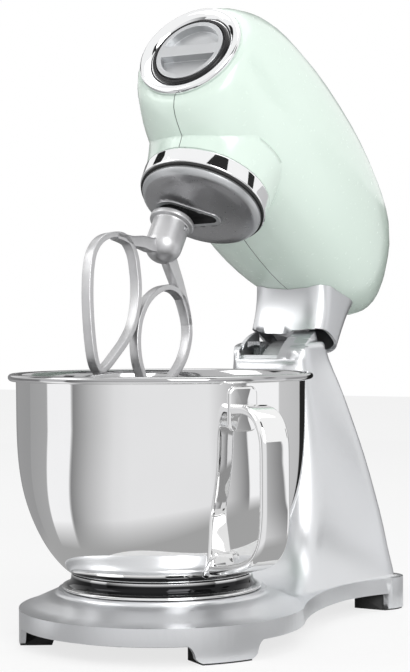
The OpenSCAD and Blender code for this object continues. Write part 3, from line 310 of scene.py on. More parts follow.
def feed(tree, value, socket):
    # a socket is linked, a colour or plain number is set
    if isinstance(value, bpy.types.NodeSocket):
        tree.links.new(value, socket)
    else:
        socket.default_value = (*value, 1) if isinstance(value, tuple) else value


def reckon(tree, operation, *values):
    # one step of arithmetic on sockets and numbers
    step = tree.nodes.new("ShaderNodeMath")
    step.operation = operation
    for slot, value in enumerate(values):
        feed(tree, value, step.inputs[slot])
    return step.outputs[0]


def noiseOn(tree, where, scale, detail, stretch=(1, 1, 1)):
    # noise of a size in repeats per metre, pulled along an axis by stretch
    mapping = tree.nodes.new("ShaderNodeMapping")
    mapping.inputs["Scale"].default_value = stretch
    tree.links.new(where, mapping.inputs["Vector"])
    noise = tree.nodes.new("ShaderNodeTexNoise")
    noise.inputs["Scale"].default_value = scale
    noise.inputs["Detail"].default_value = detail
    tree.links.new(mapping.outputs[0], noise.inputs["Vector"])
    return noise.outputs["Fac"]


def between(tree, factor, low, high, fromLow=0.3, fromHigh=0.7):
    # low where the factor is fromLow, high where it is fromHigh, and even steps between them
    spread = tree.nodes.new("ShaderNodeMapRange")
    for key, value in (("From Min", fromLow), ("From Max", fromHigh), ("To Min", low), ("To Max", high)):
        spread.inputs[key].default_value = value
    tree.links.new(factor, spread.inputs["Value"])
    return spread.outputs["Result"]


def mixedColor(tree, factor, first, second):
    # first at factor 0 and second at 1, each a colour or a socket
    mix = tree.nodes.new("ShaderNodeMix")
    mix.data_type = "RGBA"
    tree.links.new(factor, mix.inputs[0])
    feed(tree, first, mix.inputs[6])
    feed(tree, second, mix.inputs[7])
    return mix.outputs[2]


def makeFinish(name, color, drift, metallic, rough, grain, relief=None, coat=0.0, coatRough=0.04, patch=22.0,
               stretch=(1, 1, 1), ior=1.5):
    # colour drifts in broad patches, and roughness and relief (strength, depth in metres) follow a fine grain
    material, tree, shader, where = startMaterial(name)
    broad = noiseOn(tree, where, patch, detail=4.0)
    fine = noiseOn(tree, where, grain, detail=5.0, stretch=stretch)
    tree.links.new(mixedColor(tree, between(tree, broad, 0, 1), color, drift), shader.inputs["Base Color"])
    tree.links.new(between(tree, fine, *rough), shader.inputs["Roughness"])
    shader.inputs["Metallic"].default_value = metallic
    shader.inputs["IOR"].default_value = ior
    shader.inputs["Coat Weight"].default_value = coat
    shader.inputs["Coat Roughness"].default_value = coatRough
    if relief:
        bump = tree.nodes.new("ShaderNodeBump")
        bump.inputs["Strength"].default_value, bump.inputs["Distance"].default_value = relief
        tree.links.new(fine, bump.inputs["Height"])
        tree.links.new(bump.outputs["Normal"], shader.inputs["Normal"])
    material.diffuse_color = (*color, 1)
    return material


# colour and what it drifts to, metal share, roughness from and to, grain in repeats per metre, and relief
finishSettings = {
    "mintEnamel": dict(color=(0.70, 0.82, 0.74), drift=(0.72, 0.835, 0.76), metallic=0.0, rough=(0.2, 0.28),
                       grain=260, coat=0.35, coatRough=0.1, patch=7),
    "satinSilver": dict(color=(0.70, 0.71, 0.725), drift=(0.74, 0.75, 0.765), metallic=0.94,
                        rough=(0.28, 0.36), grain=1500, relief=(0.10, 0.00012), patch=9),
    "mirrorSteel": dict(color=(0.86, 0.86, 0.86), drift=(0.89, 0.89, 0.89), metallic=1.0,
                        rough=(0.025, 0.05), grain=900, stretch=(1, 1, 0.05), patch=12),
    "brightChrome": dict(color=(0.88, 0.885, 0.89), drift=(0.9, 0.905, 0.91), metallic=1.0,
                         rough=(0.03, 0.05), grain=700, patch=30),
    "castAluminium": dict(color=(0.54, 0.54, 0.55), drift=(0.6, 0.6, 0.605), metallic=0.85,
                          rough=(0.32, 0.46), grain=900, relief=(0.16, 0.00018), patch=45),
    # painted shade: darker copy of the cast aluminium for the carrier's disc, which faces down
    "discShadeAluminium": dict(color=(0.43, 0.43, 0.44), drift=(0.48, 0.48, 0.49), metallic=0.9,
                          rough=(0.27, 0.31), grain=500, patch=25),
    # painted shade: darker copy of the mirror steel for the bowl's inside and the top of its rim
    "insideShadeSteel": dict(color=(0.42, 0.42, 0.425), drift=(0.48, 0.48, 0.485), metallic=1.0, rough=(0.06, 0.1),
                     grain=900, patch=12),
    # mirror steel of the bowl's foot, with a painted shade band in its hollow flank
    "footSteelShadeBand": dict(color=(0.86, 0.86, 0.86), drift=(0.89, 0.89, 0.89), metallic=1.0, rough=(0.03, 0.06),
                      grain=900, patch=12),
    "satinCap": dict(color=(0.50, 0.51, 0.52), drift=(0.54, 0.55, 0.56), metallic=0.75, rough=(0.30, 0.38),
                     grain=1800, relief=(0.08, 0.0001), patch=30),
    "machinedSteel": dict(color=(0.52, 0.53, 0.54), drift=(0.58, 0.59, 0.6), metallic=1.0, rough=(0.22, 0.36),
                          grain=1400, relief=(0.08, 0.0001), stretch=(1, 1, 0.2), patch=60),
    "sandCast": dict(color=(0.46, 0.46, 0.47), drift=(0.54, 0.54, 0.55), metallic=0.8, rough=(0.42, 0.6),
                     grain=700, relief=(0.25, 0.0003), patch=50),
    "sinteredBronze": dict(color=(0.5, 0.36, 0.18), drift=(0.56, 0.42, 0.22), metallic=0.9,
                           rough=(0.35, 0.5), grain=1600, relief=(0.15, 0.0001), patch=80),
    "copperWire": dict(color=(0.6, 0.25, 0.1), drift=(0.68, 0.32, 0.15), metallic=0.9, rough=(0.25, 0.4),
                       grain=1200, relief=(0.4, 0.0003), stretch=(0.3, 0.3, 3), patch=60),
    "blackGloss": dict(color=(0.008, 0.008, 0.009), drift=(0.012, 0.012, 0.013), metallic=0.0,
                       rough=(0.22, 0.3), grain=600, relief=(0.02, 0.0001), patch=40, ior=1.35),
    "blackRubber": dict(color=(0.016, 0.016, 0.016), drift=(0.026, 0.026, 0.026), metallic=0.0,
                        rough=(0.6, 0.8), grain=1400, relief=(0.25, 0.0002), patch=60),
    "darkPlastic": dict(color=(0.02, 0.02, 0.021), drift=(0.03, 0.03, 0.031), metallic=0.0,
                        rough=(0.42, 0.56), grain=1600, relief=(0.2, 0.00015), patch=50),
    "greyPlastic": dict(color=(0.46, 0.47, 0.48), drift=(0.5, 0.51, 0.52), metallic=0.3, rough=(0.32, 0.42),
                        grain=1600, relief=(0.1, 0.0001), patch=50),
    "boardResin": dict(color=(0.02, 0.12, 0.05), drift=(0.03, 0.15, 0.06), metallic=0.0, rough=(0.3, 0.45),
                       grain=900, relief=(0.05, 0.0001), patch=90),
}
finish = {name: makeFinish(name, **settings) for name, settings in finishSettings.items()}
# painted shade in two finishes, in metres: a dark strip along the head's seam and a dark band in the foot's
# hollow flank
paintedShadeShape = {
    # painted shade in the seam between the head's shells: half width, and the share of it that is fully dark
    "seamHalf": 0.00042, "seamCore": 0.6, "seamShadeColor": (0.10, 0.13, 0.115),
    # painted shade, a dark band in the hollow flank of the bowl's foot: heights between which it sets in, and
    # ends
    "bandLow": (0.0436, 0.0448), "bandHigh": (0.0505, 0.0525), "coveShadeColor": (0.02, 0.02, 0.021),
}


def axisOf(tree, where, axis):
    # one coordinate of a point
    apart = tree.nodes.new("ShaderNodeSeparateXYZ")
    tree.links.new(where, apart.inputs[0])
    return apart.outputs[axis]


def seamShadeMask(tree, where):
    # painted shade along the seam: 1 at the plane where the two shells meet, 0 past the seam's half width
    aside = reckon(tree, "SUBTRACT", axisOf(tree, where, "X"), layout["bowlX"] * layout["mm"])
    half = paintedShadeShape["seamHalf"]
    return between(tree, reckon(tree, "ABSOLUTE", aside), 1, 0, half * paintedShadeShape["seamCore"], half)


def coveShadeMask(tree, where):
    # painted shade band in the foot's hollow: product of a rise at the band's lower edge and a fall at its
    # upper one
    height = axisOf(tree, where, "Z")
    return reckon(tree, "MULTIPLY", between(tree, height, 0, 1, *paintedShadeShape["bandLow"]),
                  between(tree, height, 1, 0, *paintedShadeShape["bandHigh"]))


def darkened(material, color, maskOf):
    # painted shade: colour laid over the finish's own where the mask is 1
    tree, shader, where = opened(material)
    own = shader.inputs["Base Color"].links[0].from_socket
    tree.links.new(mixedColor(tree, maskOf(tree, where), own, color), shader.inputs["Base Color"])


# painted shade: a dark strip along the seam between the head's shells
darkened(finish["mintEnamel"], paintedShadeShape["seamShadeColor"], seamShadeMask)
# painted shade: a dark band in the hollow flank of the bowl's foot
darkened(finish["footSteelShadeBand"], paintedShadeShape["coveShadeColor"], coveShadeMask)
slotFinish = {
    "silver_enamel": "satinSilver", "white_enamel": "mintEnamel", "satin_aluminium": "castAluminium",
    "white_coating": "castAluminium", "polished_steel": "mirrorSteel", "bright_chrome": "brightChrome",
    "dull_steel": "machinedSteel", "cast_alloy": "sandCast", "bronze": "sinteredBronze",
    "copper_winding": "copperWire", "dark_plastic": "darkPlastic", "black_plastic": "blackGloss",
    "grey_plastic": "greyPlastic", "silver_plastic": "satinCap", "board_resin": "boardResin",
    "black_rubber": "blackRubber",
}
nodeFinish = {sub["node"]: finish[slotFinish[sub["material_slot"]]] for sub in frame["record"]["subparts"]}
for node, material in nodeFinish.items():
    nodes[node].data.materials.clear()
    nodes[node].data.materials.append(material)
print("finishes given to all nodes")

headShape = {
    # station, top, bottom, half width, height of the widest line, power of the section
    "rows": [[-79.2, 118.8, 29.2, 44.8, 74, 2], [-75, 125.5, 20.5, 48.8, 74.5, 2.1],
             [-63, 135, 13.6, 53, 75, 2.25], [-44, 144.8, 8, 58.5, 76.5, 2.35],
             [-15, 149.8, 3.2, 65.2, 79, 2.4], [25, 151.8, 1.2, 71, 81, 2.41],
             [80, 152.4, 1.6, 73.2, 82.3, 2.41], [125, 151.2, 5.2, 71.4, 82.3, 2.41],
             [165, 147.5, 13, 67, 82.3, 2.41], [200, 140.6, 23.4, 59.4, 82.3, 2.41],
             [230, 128, 36.6, 46.6, 82.3, 2.4], [252, 115, 49, 33.8, 82.3, 2.35],
             [268, 101.5, 62.5, 20.5, 82.3, 2.3], [275.5, 91, 73.6, 9, 82.3, 2.2],
             [277.6, 83.3, 81.3, 0.8, 82.3, 2]],
    "perSpan": 100,       # sections worked out between two rows
    "slopeStep": 0.4,     # step to either side by which the slope is read
    "skin": 0.012,        # how far from 1 the level may be to count as skin
    "tail": 272,          # past this station the section is too small to read
}


def headLevel(p):
    # (|x / half|^power + |rise / reach|^power)^(1 / power): 1 on the skin, less inside it
    rows = curveThrough(headShape["rows"], headShape["perSpan"])
    top, bottom, half, middle, power = (np.interp(p[:, 1], rows[:, 0], rows[:, k]) for k in range(1, 6))
    rise = p[:, 2] - middle
    reach = np.where(rise > 0, top - middle, middle - bottom)
    return (np.abs(p[:, 0] / half) ** power + np.abs(rise / reach) ** power) ** (1 / power)


def headNormal(points):
    # slope of headLevel by small steps either way, and which points are near enough to the skin to use it
    p = headDrawing(points)
    steps = headShape["slopeStep"] * np.eye(3)
    slope = headDirections(np.stack([headLevel(p + step) - headLevel(p - step) for step in steps], -1))
    slope /= np.maximum(np.linalg.norm(slope, axis=1, keepdims=True), 1e-9)
    return slope, (np.abs(headLevel(p) - 1) < headShape["skin"]) & (p[:, 1] < headShape["tail"])


for node in ("head_shell_right", "head_shell_left"):
    dressedCopy(node, finish["mintEnamel"], sharp=28, normalOf=headNormal)
dressedCopy("neck_collar", finish["satinSilver"], sharp=32)
for node in ("outlet_cap", "speed_track", "speed_lever"):
    dressedCopy(node, nodeFinish[node], bevel=0.5)

carrierShape = {
    "eccentric": 21.75,                   # beater's axis from the hub's
    "near": 17.0, "tip": 7.5,             # radii of the drop at the beater and at its tip
    "far": (29.75, 8.0),                  # where the tip's middle lies from the beater's axis
    "rim": 3.0, "face": -25.6,            # width of the drop's rim, and a height just above its face
    "bevel": 45.2, "slack": 0.2,          # radius where the disc's bevel begins, and room for facets
}


def carrierPaintedLight(points):
    # painted light on the carrier: distance to the drop's outline, two circles and their tangents, tells its
    # recess (1), which takes painted shade, from the rim and the bevel (2), which take a painted highlight,
    # and the disc (0), whose darker aluminium is painted shade
    p = headDrawing(points)
    reach = math.hypot(*carrierShape["far"])
    ux, uy = carrierShape["far"][0] / reach, carrierShape["far"][1] / reach
    x, y = p[:, 0] + carrierShape["eccentric"], p[:, 1]
    along, aside = x * ux + y * uy, np.abs(y * ux - x * uy)
    sine = (carrierShape["near"] - carrierShape["tip"]) / reach
    cosine = math.sqrt(1 - sine * sine)
    foot = along * cosine - aside * sine
    off = np.where(foot < 0, np.hypot(along, aside) - carrierShape["near"],
                   np.where(foot > cosine * reach, np.hypot(along - reach, aside) - carrierShape["tip"],
                            aside * cosine + along * sine - carrierShape["near"]))
    inside = off < carrierShape["slack"] - carrierShape["rim"]
    rim = ~inside & (off < carrierShape["slack"]) & (p[:, 2] < carrierShape["face"])
    bevel = np.hypot(p[:, 0], p[:, 1]) > carrierShape["bevel"]
    return np.where(inside, 1, np.where(rim | bevel, 2, 0))


# painted shade on the disc and in its recess, and a painted highlight on the drop's rim and the disc's bevel
dressedCopy("planet_carrier", finish["discShadeAluminium"], sharp=24,
            others=([finish["darkPlastic"], finish["satinCap"]], carrierPaintedLight))
for node in ("head_chassis", "beater_shaft", "latch_lever", "release_button", "hinge_pin", "hub_gasket",
             "rubber_feet", "cord_gland", "bowl_lock_plate", "base_cover", "drive_pin"):
    dressedCopy(node, nodeFinish[node])

ringShape = {
    # corners of radius, height and rounding: past the front of the head, and from the hub ring's top edge
    "outlet_bezel": [(33.4, -8, 0), (41.6, -8, 0), (41.6, 0.2, 0.1), (43.6, 0.2, 0.3), (44.2, 2.2, 1.2),
                     (43.6, 4.6, 1.6), (41.6, 5.4, 1.2), (38.6, 4.9, 1.5), (35.4, 3.0, 1.2), (34.0, 1.2, 0.4),
                     (33.4, 1.2, 0.2)],
    "outlet_ring": [(29.6, -9, 0.1), (33.2, -9, 0.1), (33.2, 2.2, 0.6), (32.4, 3.2, 0.6), (30.6, 3.2, 0.6),
                    (29.6, 2.0, 0.4)],
    "hub_ring": [(49.8, -13.7, 0.2), (51.6, -13.7, 0.5), (52.3, -12.9, 0.5), (52.8, -1.4, 0.8),
                 (52.2, 0, 0.4), (49.8, 0, 0.2)],
    "headFront": 79.2,    # front of the head, out from the hub's axis
}
for node, look, rise, sides, place in (
        ("outlet_bezel", "brightChrome", ringShape["headFront"], 160, outletPoints),
        ("outlet_ring", "blackGloss", ringShape["headFront"], 160, outletPoints),
        ("hub_ring", "brightChrome", 0, 192, headPoints)):
    outline = roundedProfile(ringShape[node], closed=True, steps=6) + [0, rise]
    makePiece(node + "_turned", lathe(outline, sides, place), finish[look], node, sharp=40)
print("head dressed")

bowlShape = {
    # outside of the sheet from its floor to the rim, as radius and height
    "rows": [[0, 47], [30, 47.4], [55, 49.4], [68, 52.5], [73, 55], [82.5, 64.5], [92, 78.5], [101, 98],
             [107.5, 120], [110.4, 145], [111, 168], [111, 190], [111.2, 200]],
    "perSpan": 10, "evenings": 60, "sheet": 1.2, "sides": 256,
    # rolled rim: its middle, the tube's two half axes, and its arc in degrees
    "rimMiddle": (114.4, 203.0), "rimHalves": (2.9, 2.813), "rimArc": (-105, 150), "rimPoints": 19,
    "insideFrom": 6,      # point of the rim where the inside's painted shade, a darker copy of the same steel, begins
}


def bowlWall():
    # outside of the sheet as a smooth line of radius and height
    return evened(curveThrough(bowlShape["rows"], bowlShape["perSpan"]), bowlShape["evenings"])


def makeBowl():
    # outside wall up, round the rolled rim, and down the inside wall one sheet thickness in, turned about z
    wall = bowlWall()
    along = unitSteps(wall)
    inner = wall + bowlShape["sheet"] * np.stack([-along[:, 1], along[:, 0]], -1)
    inner[:, 0] = np.maximum(inner[:, 0], 0)
    wall[0, 0] = inner[0, 0] = 0
    a = np.radians(np.linspace(*bowlShape["rimArc"], bowlShape["rimPoints"]))
    rim = bowlShape["rimMiddle"] + np.stack([np.cos(a), np.sin(a)], -1) * bowlShape["rimHalves"]
    outline = np.vstack([wall, rim, inner[::-1]])
    # the inside and the top of the rim take painted shade, a darker copy of the same steel
    inside = np.arange(len(outline) - 1) >= len(wall) + bowlShape["insideFrom"]
    makePiece("bowl_spun", lathe(outline, bowlShape["sides"], tablePoints), finish["mirrorSteel"], "bowl",
              sharp=60, second=(finish["insideShadeSteel"], np.repeat(inside, bowlShape["sides"])))


footShape = {
    "corners": [(73.8, 41.3, 0.2), (76.8, 41.6, 0.6), (76.8, 43.4, 0.6), (76.0, 43.6, 0.2), (72.6, 44.7, 1.6),
                (70.3, 47.4, 1.8), (69.8, 50.3, 1.0), (69.7, 52.7, 0.1), (67.6, 51.9, 0.1), (67.2, 46, 0.4),
                (68.8, 43.2, 0.4), (68.8, 41.3, 0.2)],
    "sides": 200,
    # lugs inside the foot: section, how many, where the first starts, and how far each goes round
    "lug": [(63.5, 41.4), (69.2, 41.4), (69.2, 42.6), (63.5, 42.6)],
    "lugs": 3, "lugFrom": math.radians(10), "lugSweep": math.radians(24), "lugSteps": 12,
}


def lugSurface(start):
    # section carried round a part of the circle, with a face over each end
    section = footShape["lug"] + footShape["lug"][:1]
    points, faces = lathe(section, footShape["lugSteps"], tablePoints, start, footShape["lugSweep"])
    column = np.arange(len(footShape["lug"]))[None] * (footShape["lugSteps"] + 1)
    return points, faces + [column[:, ::-1], column + footShape["lugSteps"]]


def makeFoot():
    # turned ring and its lugs, evenly spaced
    ring = lathe(roundedProfile(footShape["corners"], closed=True, steps=6), footShape["sides"], tablePoints)
    starts = [footShape["lugFrom"] + 2 * math.pi * k / footShape["lugs"] for k in range(footShape["lugs"])]
    surface = joined([ring] + [lugSurface(start) for start in starts])
    # its finish carries a painted shade band in the hollow flank
    makePiece("bowl_foot_spun", surface, finish["footSteelShadeBand"], "bowl_foot", sharp=40)


handleShape = {
    # middle line of the strap in its own upright plane, as reach and height
    "rows": [[109, 181.5], [118, 182], [128, 182], [138, 179], [145.5, 172], [149.6, 162], [150.4, 150],
             [150.4, 124], [150, 104], [146.5, 88], [138, 77], [125, 71], [110, 67.5], [97, 65], [84, 63.5]],
    "perSpan": 12, "evenings": 24,
    "width": 24.0, "thick": 7.0, "corner": 3.4, "direction": math.radians(-26),
    # plates that carry the strap: middle height, width, height, corner, and how far they stand off the wall
    "plates": [(182, 25.0, 33.0, 6.0, 2.2), (66, 27.0, 20.0, 7.0, 1.8)],
    # rings of a plate from its middle to inside the wall: share of its outline and share of its stand
    "rings": [(0.0, 1.0), (0.5, 1.0), (0.86, 1.0), (0.95, 0.9), (0.985, 0.6), (1.0, 0.1), (1.0, -0.4)],
}


def handlePoints(p):
    # reach, side and height in the handle's own plane, turned to its direction
    c, s = math.cos(handleShape["direction"]), math.sin(handleShape["direction"])
    x, y = p[..., 0] * c - p[..., 1] * s, p[..., 0] * s + p[..., 1] * c
    return tablePoints(np.stack([x, y, p[..., 2]], -1)).reshape(-1, 3)


def handleStrap():
    # rounded section carried along the middle line, closed at both ends, which stand inside the plates; the
    # mirrored section has the same shape, with its points in the other order
    line = evened(curveThrough(handleShape["rows"], handleShape["perSpan"]), handleShape["evenings"])
    section = roundedSection(handleShape["thick"], handleShape["width"], handleShape["corner"], perCorner=8)
    points = carried(line, section * [-1, 1])
    return handlePoints(points), tubeFaces(*points.shape[:2])


def handlePlate(height, width, tall, corner, stand):
    # rounded plate laid on the bowl's wall: x = sqrt(r^2 - side^2), with r the wall's radius at the point's
    # height and the ring's share of the stand on top
    wall = bowlWall()
    outline = roundedSection(width, tall, corner, perCorner=9)
    share, lift = np.array(handleShape["rings"]).T[:, :, None]
    side, z = outline[:, 0] * share, height + outline[:, 1] * share
    r = np.interp(z, wall[:, 1], wall[:, 0]) + stand * lift
    points = np.stack([np.sqrt(np.maximum(r ** 2 - side ** 2, 1)), side, z], -1)
    return handlePoints(points), [gridFaces(*points.shape[:2], wrapCols=True)]


makeBowl()
makeFoot()
surfaces = [handleStrap()] + [handlePlate(*plate) for plate in handleShape["plates"]]
makePiece("bowl_handle_strap", joined(surfaces), finish["mirrorSteel"], "bowl_handle", sharp=50)
print("bowl made")

beaterShape = {
    "offset": -21.75, "turn": math.radians(80),           # where its axis stands, and how the blade is turned
    "bandWide": 4.6, "bandThick": 8.8, "corner": 0.7,     # section of the bands
    # middle lines of the two loops, as reach and depth
    "loops": [[[-43, 79.5], [-56, 87], [-64, 98], [-66.2, 111], [-63, 124], [-58, 135.5], [-52, 147],
               [-44, 160], [-35, 173], [-26, 183.5], [-18.5, 187], [-13.5, 180], [-8.5, 165], [-4.6, 151],
               [-2.8, 136], [-5.8, 120], [-11, 107], [-18.5, 95], [-29, 83.5]],
              [[26, 82], [36, 83], [44, 87.5], [51.5, 96], [57, 106], [59.6, 118], [59.4, 130], [55.5, 145],
               [49, 159], [41.5, 170], [33.5, 171], [25, 164.5], [15.5, 156.5], [8, 146], [3.2, 135],
               [1, 124], [2, 110], [7.5, 96.5], [16, 86.5]]],
    # arms: middle line of reach and depth, with the band's width there
    "arms": [[[-6, 60, 12], [-14, 66, 11], [-24, 70.5, 9.5], [-34, 77, 8], [-43, 80.5, 6], [-51, 84, 5]],
             [[6, 60, 12], [16, 67, 10.5], [27, 74.5, 9], [38, 83, 7], [47, 91, 5.5], [53, 98, 4.8]]],
    "perSpan": 8,
}
hubShape = {
    # from its top down: radius, height from the hub ring's top edge, and rounding
    "corners": [(6.4, -31.5, 0.1), (18.2, -31.5, 0.9), (18.2, -35.6, 1.0), (15.3, -36.6, 1.0),
                (15, -37.4, 0.2)],
    "radius": 15.0, "bore": 6.4, "domeHeight": -56.0, "domePoints": 17, "sides": 96,
    # slots for the cross pin: heights, half width, radius of their floor, and how steep their walls are
    "slotTop": -37.5, "slotLow": -43.0, "slotHalf": 2.5, "slotFloor": 12.0,
    "wallRise": 0.05, "wallTurn": 0.003,
}


def beaterPoints(p):
    # reach along the blade, thickness across it and depth, turned and set on the shaft
    c, s = math.cos(beaterShape["turn"]), math.sin(beaterShape["turn"])
    x, y = p[..., 0] * c - p[..., 1] * s, p[..., 0] * s + p[..., 1] * c
    return headPoints(np.stack([beaterShape["offset"] + x, y, -p[..., 2]], -1)).reshape(-1, 3)


def shaftPoints(r, turn, z):
    # x = r cos turn, y = r sin turn about the beater's axis
    x, y = beaterShape["offset"] + r * np.cos(turn), r * np.sin(turn)
    return headPoints(np.stack([x, y, np.broadcast_to(z, x.shape)], -1)).reshape(-1, 3)


def loopBand(rows, section):
    # section carried round a closed middle line
    line = curveThrough(rows, beaterShape["perSpan"], closed=True)
    points = carried(line, section, closed=True)
    return beaterPoints(points), [gridFaces(*points.shape[:2], wrapRows=True, wrapCols=True)]


def armBand(rows, section):
    # section carried along an open middle line, drawn out to the width that each row gives
    line = curveThrough(rows, beaterShape["perSpan"])
    points = carried(line[:, :2], section, line[:, 2] / beaterShape["bandWide"])
    return beaterPoints(points), tubeFaces(*points.shape[:2])


def hubSurface():
    # turned hub with a half ball below; in two slots, across x, the wall steps in to the slot's floor
    a = np.radians(np.linspace(0, 90, hubShape["domePoints"]))
    dome = [0, hubShape["domeHeight"]] + hubShape["radius"] * np.stack([np.cos(a), -np.sin(a)], -1)
    heights = [hubShape[key] + rise for key in ("slotTop", "slotLow")
               for rise in (hubShape["wallRise"], -hubShape["wallRise"])]
    step = np.stack([np.full(len(heights), hubShape["radius"]), heights], -1)
    bore = [[hubShape["bore"], hubShape["domeHeight"]]]
    rows = np.vstack([bore, roundedProfile(hubShape["corners"]), step, dome])
    edge = math.asin(hubShape["slotHalf"] / hubShape["radius"])
    walls = [middle + side * (edge + off) for middle in (0, math.pi) for side in (1, -1)
             for off in (-hubShape["wallTurn"], hubShape["wallTurn"])]
    even = np.arange(hubShape["sides"]) * 2 * math.pi / hubShape["sides"]
    turn = np.unique(np.round(np.mod(np.concatenate([even, walls]), 2 * math.pi), 9))
    aside = np.abs(np.sin(turn)) * hubShape["radius"]
    inSlot = (rows[:, 1] < hubShape["slotTop"]) & (rows[:, 1] > hubShape["slotLow"])
    r = np.where(inSlot[:, None] & (aside < hubShape["slotHalf"]), hubShape["slotFloor"], rows[:, :1])
    return shaftPoints(r, turn, rows[:, 1:]), [gridFaces(*r.shape, wrapCols=True), np.arange(len(turn))[None]]


def makeBeater():
    # two loops, two arms and the hub, which stand in one another
    section = roundedSection(beaterShape["bandWide"], beaterShape["bandThick"], beaterShape["corner"])
    surfaces = [loopBand(rows, section) for rows in beaterShape["loops"]]
    surfaces += [armBand(rows, section) for rows in beaterShape["arms"]] + [hubSurface()]
    makePiece("flat_beater_cast", joined(surfaces), finish["castAluminium"], "flat_beater", sharp=45)


springShape = {
    "radius": 8.3, "wire": 0.8, "high": -19.5, "low": -30.6, "turns": 5, "perTurn": 48, "round": 12,
    "keep": 0.8,      # length that it keeps when the beater is pushed up
}


def makeShaftSpring():
    # round wire along a helix about the beater's axis: r = radius + wire cos a, z = helix + wire sin a
    t = np.linspace(0, 1, springShape["perTurn"] * springShape["turns"] + 1)[:, None]
    a = np.linspace(0, 2 * math.pi, springShape["round"], endpoint=False)
    r = springShape["radius"] + springShape["wire"] * np.cos(a)[None]
    helix = springShape["high"] + (springShape["low"] - springShape["high"]) * t
    points = shaftPoints(r, 2 * math.pi * springShape["turns"] * t, helix + springShape["wire"] * np.sin(a))
    surface = points, tubeFaces(len(t), len(a))
    coil = makePiece("shaft_spring_coil", surface, finish["darkPlastic"], "shaft_spring", sharp=60)
    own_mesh(coil)


makeBeater()
makeShaftSpring()
print("beater made")

baseShape = {
    # pin bores that show at the sides of the column: y and z about the bowl's axis, radius, and how far out
    # the plug begins
    "bores": [(layout["hingeY"], layout["hingeZ"], 5.4, 35.0), (196.0, 158.0, 3.6, 29.0)],
    "buttonKeep": 0.57,      # length that the button's spring keeps when it is pressed in
}


def boreWall(face):
    # whether a face is wall of a pin's bore that reaches the skin, which the finished casting has plugged
    p = np.array([vertex.co for vertex in face.verts]) / layout["mm"]
    p -= [layout["bowlX"], layout["bowlY"], 0]
    return any(np.hypot(p[:, 1] - y, p[:, 2] - z).max() < radius and np.abs(p[:, 0]).max() > start
               for y, z, radius, start in baseShape["bores"])


dressedCopy("base_casting", finish["satinSilver"], sharp=26, closeOff=boreWall)
buttonSpring = dressedCopy("button_spring", finish["machinedSteel"])
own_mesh(buttonSpring)
print("base dressed")

view = {
    "turn": math.radians(30.849), "pitch": math.radians(0.403), "roll": math.radians(-0.333),
    "distance": 1347.403, "height": 243.191, "aside": 34.154,    # from the bowl's axis on the table
    "lens": 153.592332, "sensor": 36.0,      # millimetres, as on a camera
    "clipEnd": 20,                           # metres
}


def setCamera():
    # stands back from the bowl's axis along its own direction, then is pitched and rolled
    t, p, r = view["turn"], view["pitch"], view["roll"]
    right = Vector((math.cos(t), math.sin(t), 0))
    ahead = Vector((-math.sin(t), math.cos(t), 0))
    up = Vector((0, 0, 1))
    look = ahead * math.cos(p) - up * math.sin(p)
    over = ahead * math.sin(p) + up * math.cos(p)
    sideways = right * math.cos(r) + over * math.sin(r)
    upward = -right * math.sin(r) + over * math.cos(r)
    spot = -ahead * view["distance"] + right * view["aside"] + up * view["height"]
    data = bpy.data.cameras.new("frontView")
    data.sensor_fit = "HORIZONTAL"
    data.sensor_width = view["sensor"]
    data.lens = view["lens"]
    data.clip_end = view["clipEnd"]
    camera = addObject("frontView", data)
    pose = Matrix((sideways, upward, -look)).transposed().to_4x4()
    pose.translation = (spot + Vector((layout["bowlX"], layout["bowlY"], 0))) * layout["mm"]
    camera.matrix_world = pose
    bpy.context.scene.camera = camera


studio = {
    "level": 0.52,                    # the plain soft light from all round
    "floorSize": 4.0, "floorColor": (0.92, 0.92, 0.92), "floorRough": 0.9,
    "floorWhite": 0.76,               # share of plain white in what the camera sees of the floor
    # name, place, target, size and power of each lamp
    "lamps": [("windowRight", (1.9, -1.5, 1.3), (0, 0, 0.25), (1.2, 1.6), 36),
              ("windowLeft", (-1.5, -1.2, 1.7), (0, 0, 0.3), (1.2, 1.0), 9),
              ("skyPanel", (0.0, 0.4, 2.2), (0, 0, 0.2), (1.8, 1.4), 9)],
    # name, place, target, size and shade of the cards that only mirrors see
    "cards": [("darkHighLeft", (-1.75, 0.1, 1.5), (0, 0, 0.35), (0.6, 0.55), 0.02),
              ("darkHighFront", (1.25, -0.75, 1.95), (0, 0, 0.35), (1.1, 0.7), 0.03),
              ("darkHighRight", (1.75, 0.95, 0.93), (0, 0, 0.35), (0.4, 0.6), 0.03),
              ("greyBehind", (-1.15, 1.75, 1.2), (0, 0, 0.3), (1.8, 1.3), 0.2)],
    # the mirrored room: radius and height of its ground and wall, and the ground's inner edge and shade
    "roomProfile": [[0.246, 0.002], [0.62, 0.002], [2.2, 0.003], [2.2, 0.55]], "roomSides": 96,
    "roomNarrow": 0.56, "ground": 0.40, "groundFade": (0.25, 0.33), "blueGain": 1.01,
    # direction round the bowl in degrees, and brightness of the wall there
    "stops": [(-180, 0.38), (-156, 0.42), (-155, 1), (-130, 1), (-129, 0.24), (-114, 0.5), (-93, 0.8),
              (-80, 0.86), (-22, 0.86), (-6, 0.6), (10, 0.24), (11, 1), (45, 1), (46, 0.62), (82, 0.55),
              (83, 0.02), (122, 0.02), (123, 0.2), (150, 0.34)],
}


def setWorld():
    # white to the camera and in mirrors and glass, and a plain soft level everywhere else
    world = bpy.data.worlds.new("studio")
    bpy.context.scene.world = world
    world.use_nodes = True
    tree = world.node_tree
    seen = tree.nodes.new("ShaderNodeLightPath").outputs
    white = reckon(tree, "MAXIMUM", seen["Is Camera Ray"], seen["Is Glossy Ray"])
    white = reckon(tree, "MAXIMUM", white, seen["Is Transmission Ray"])
    back = tree.nodes["Background"]
    tree.links.new(between(tree, white, studio["level"], 1.0, 0, 1), back.inputs["Strength"])
    back.inputs["Color"].default_value = (1, 1, 1, 1)


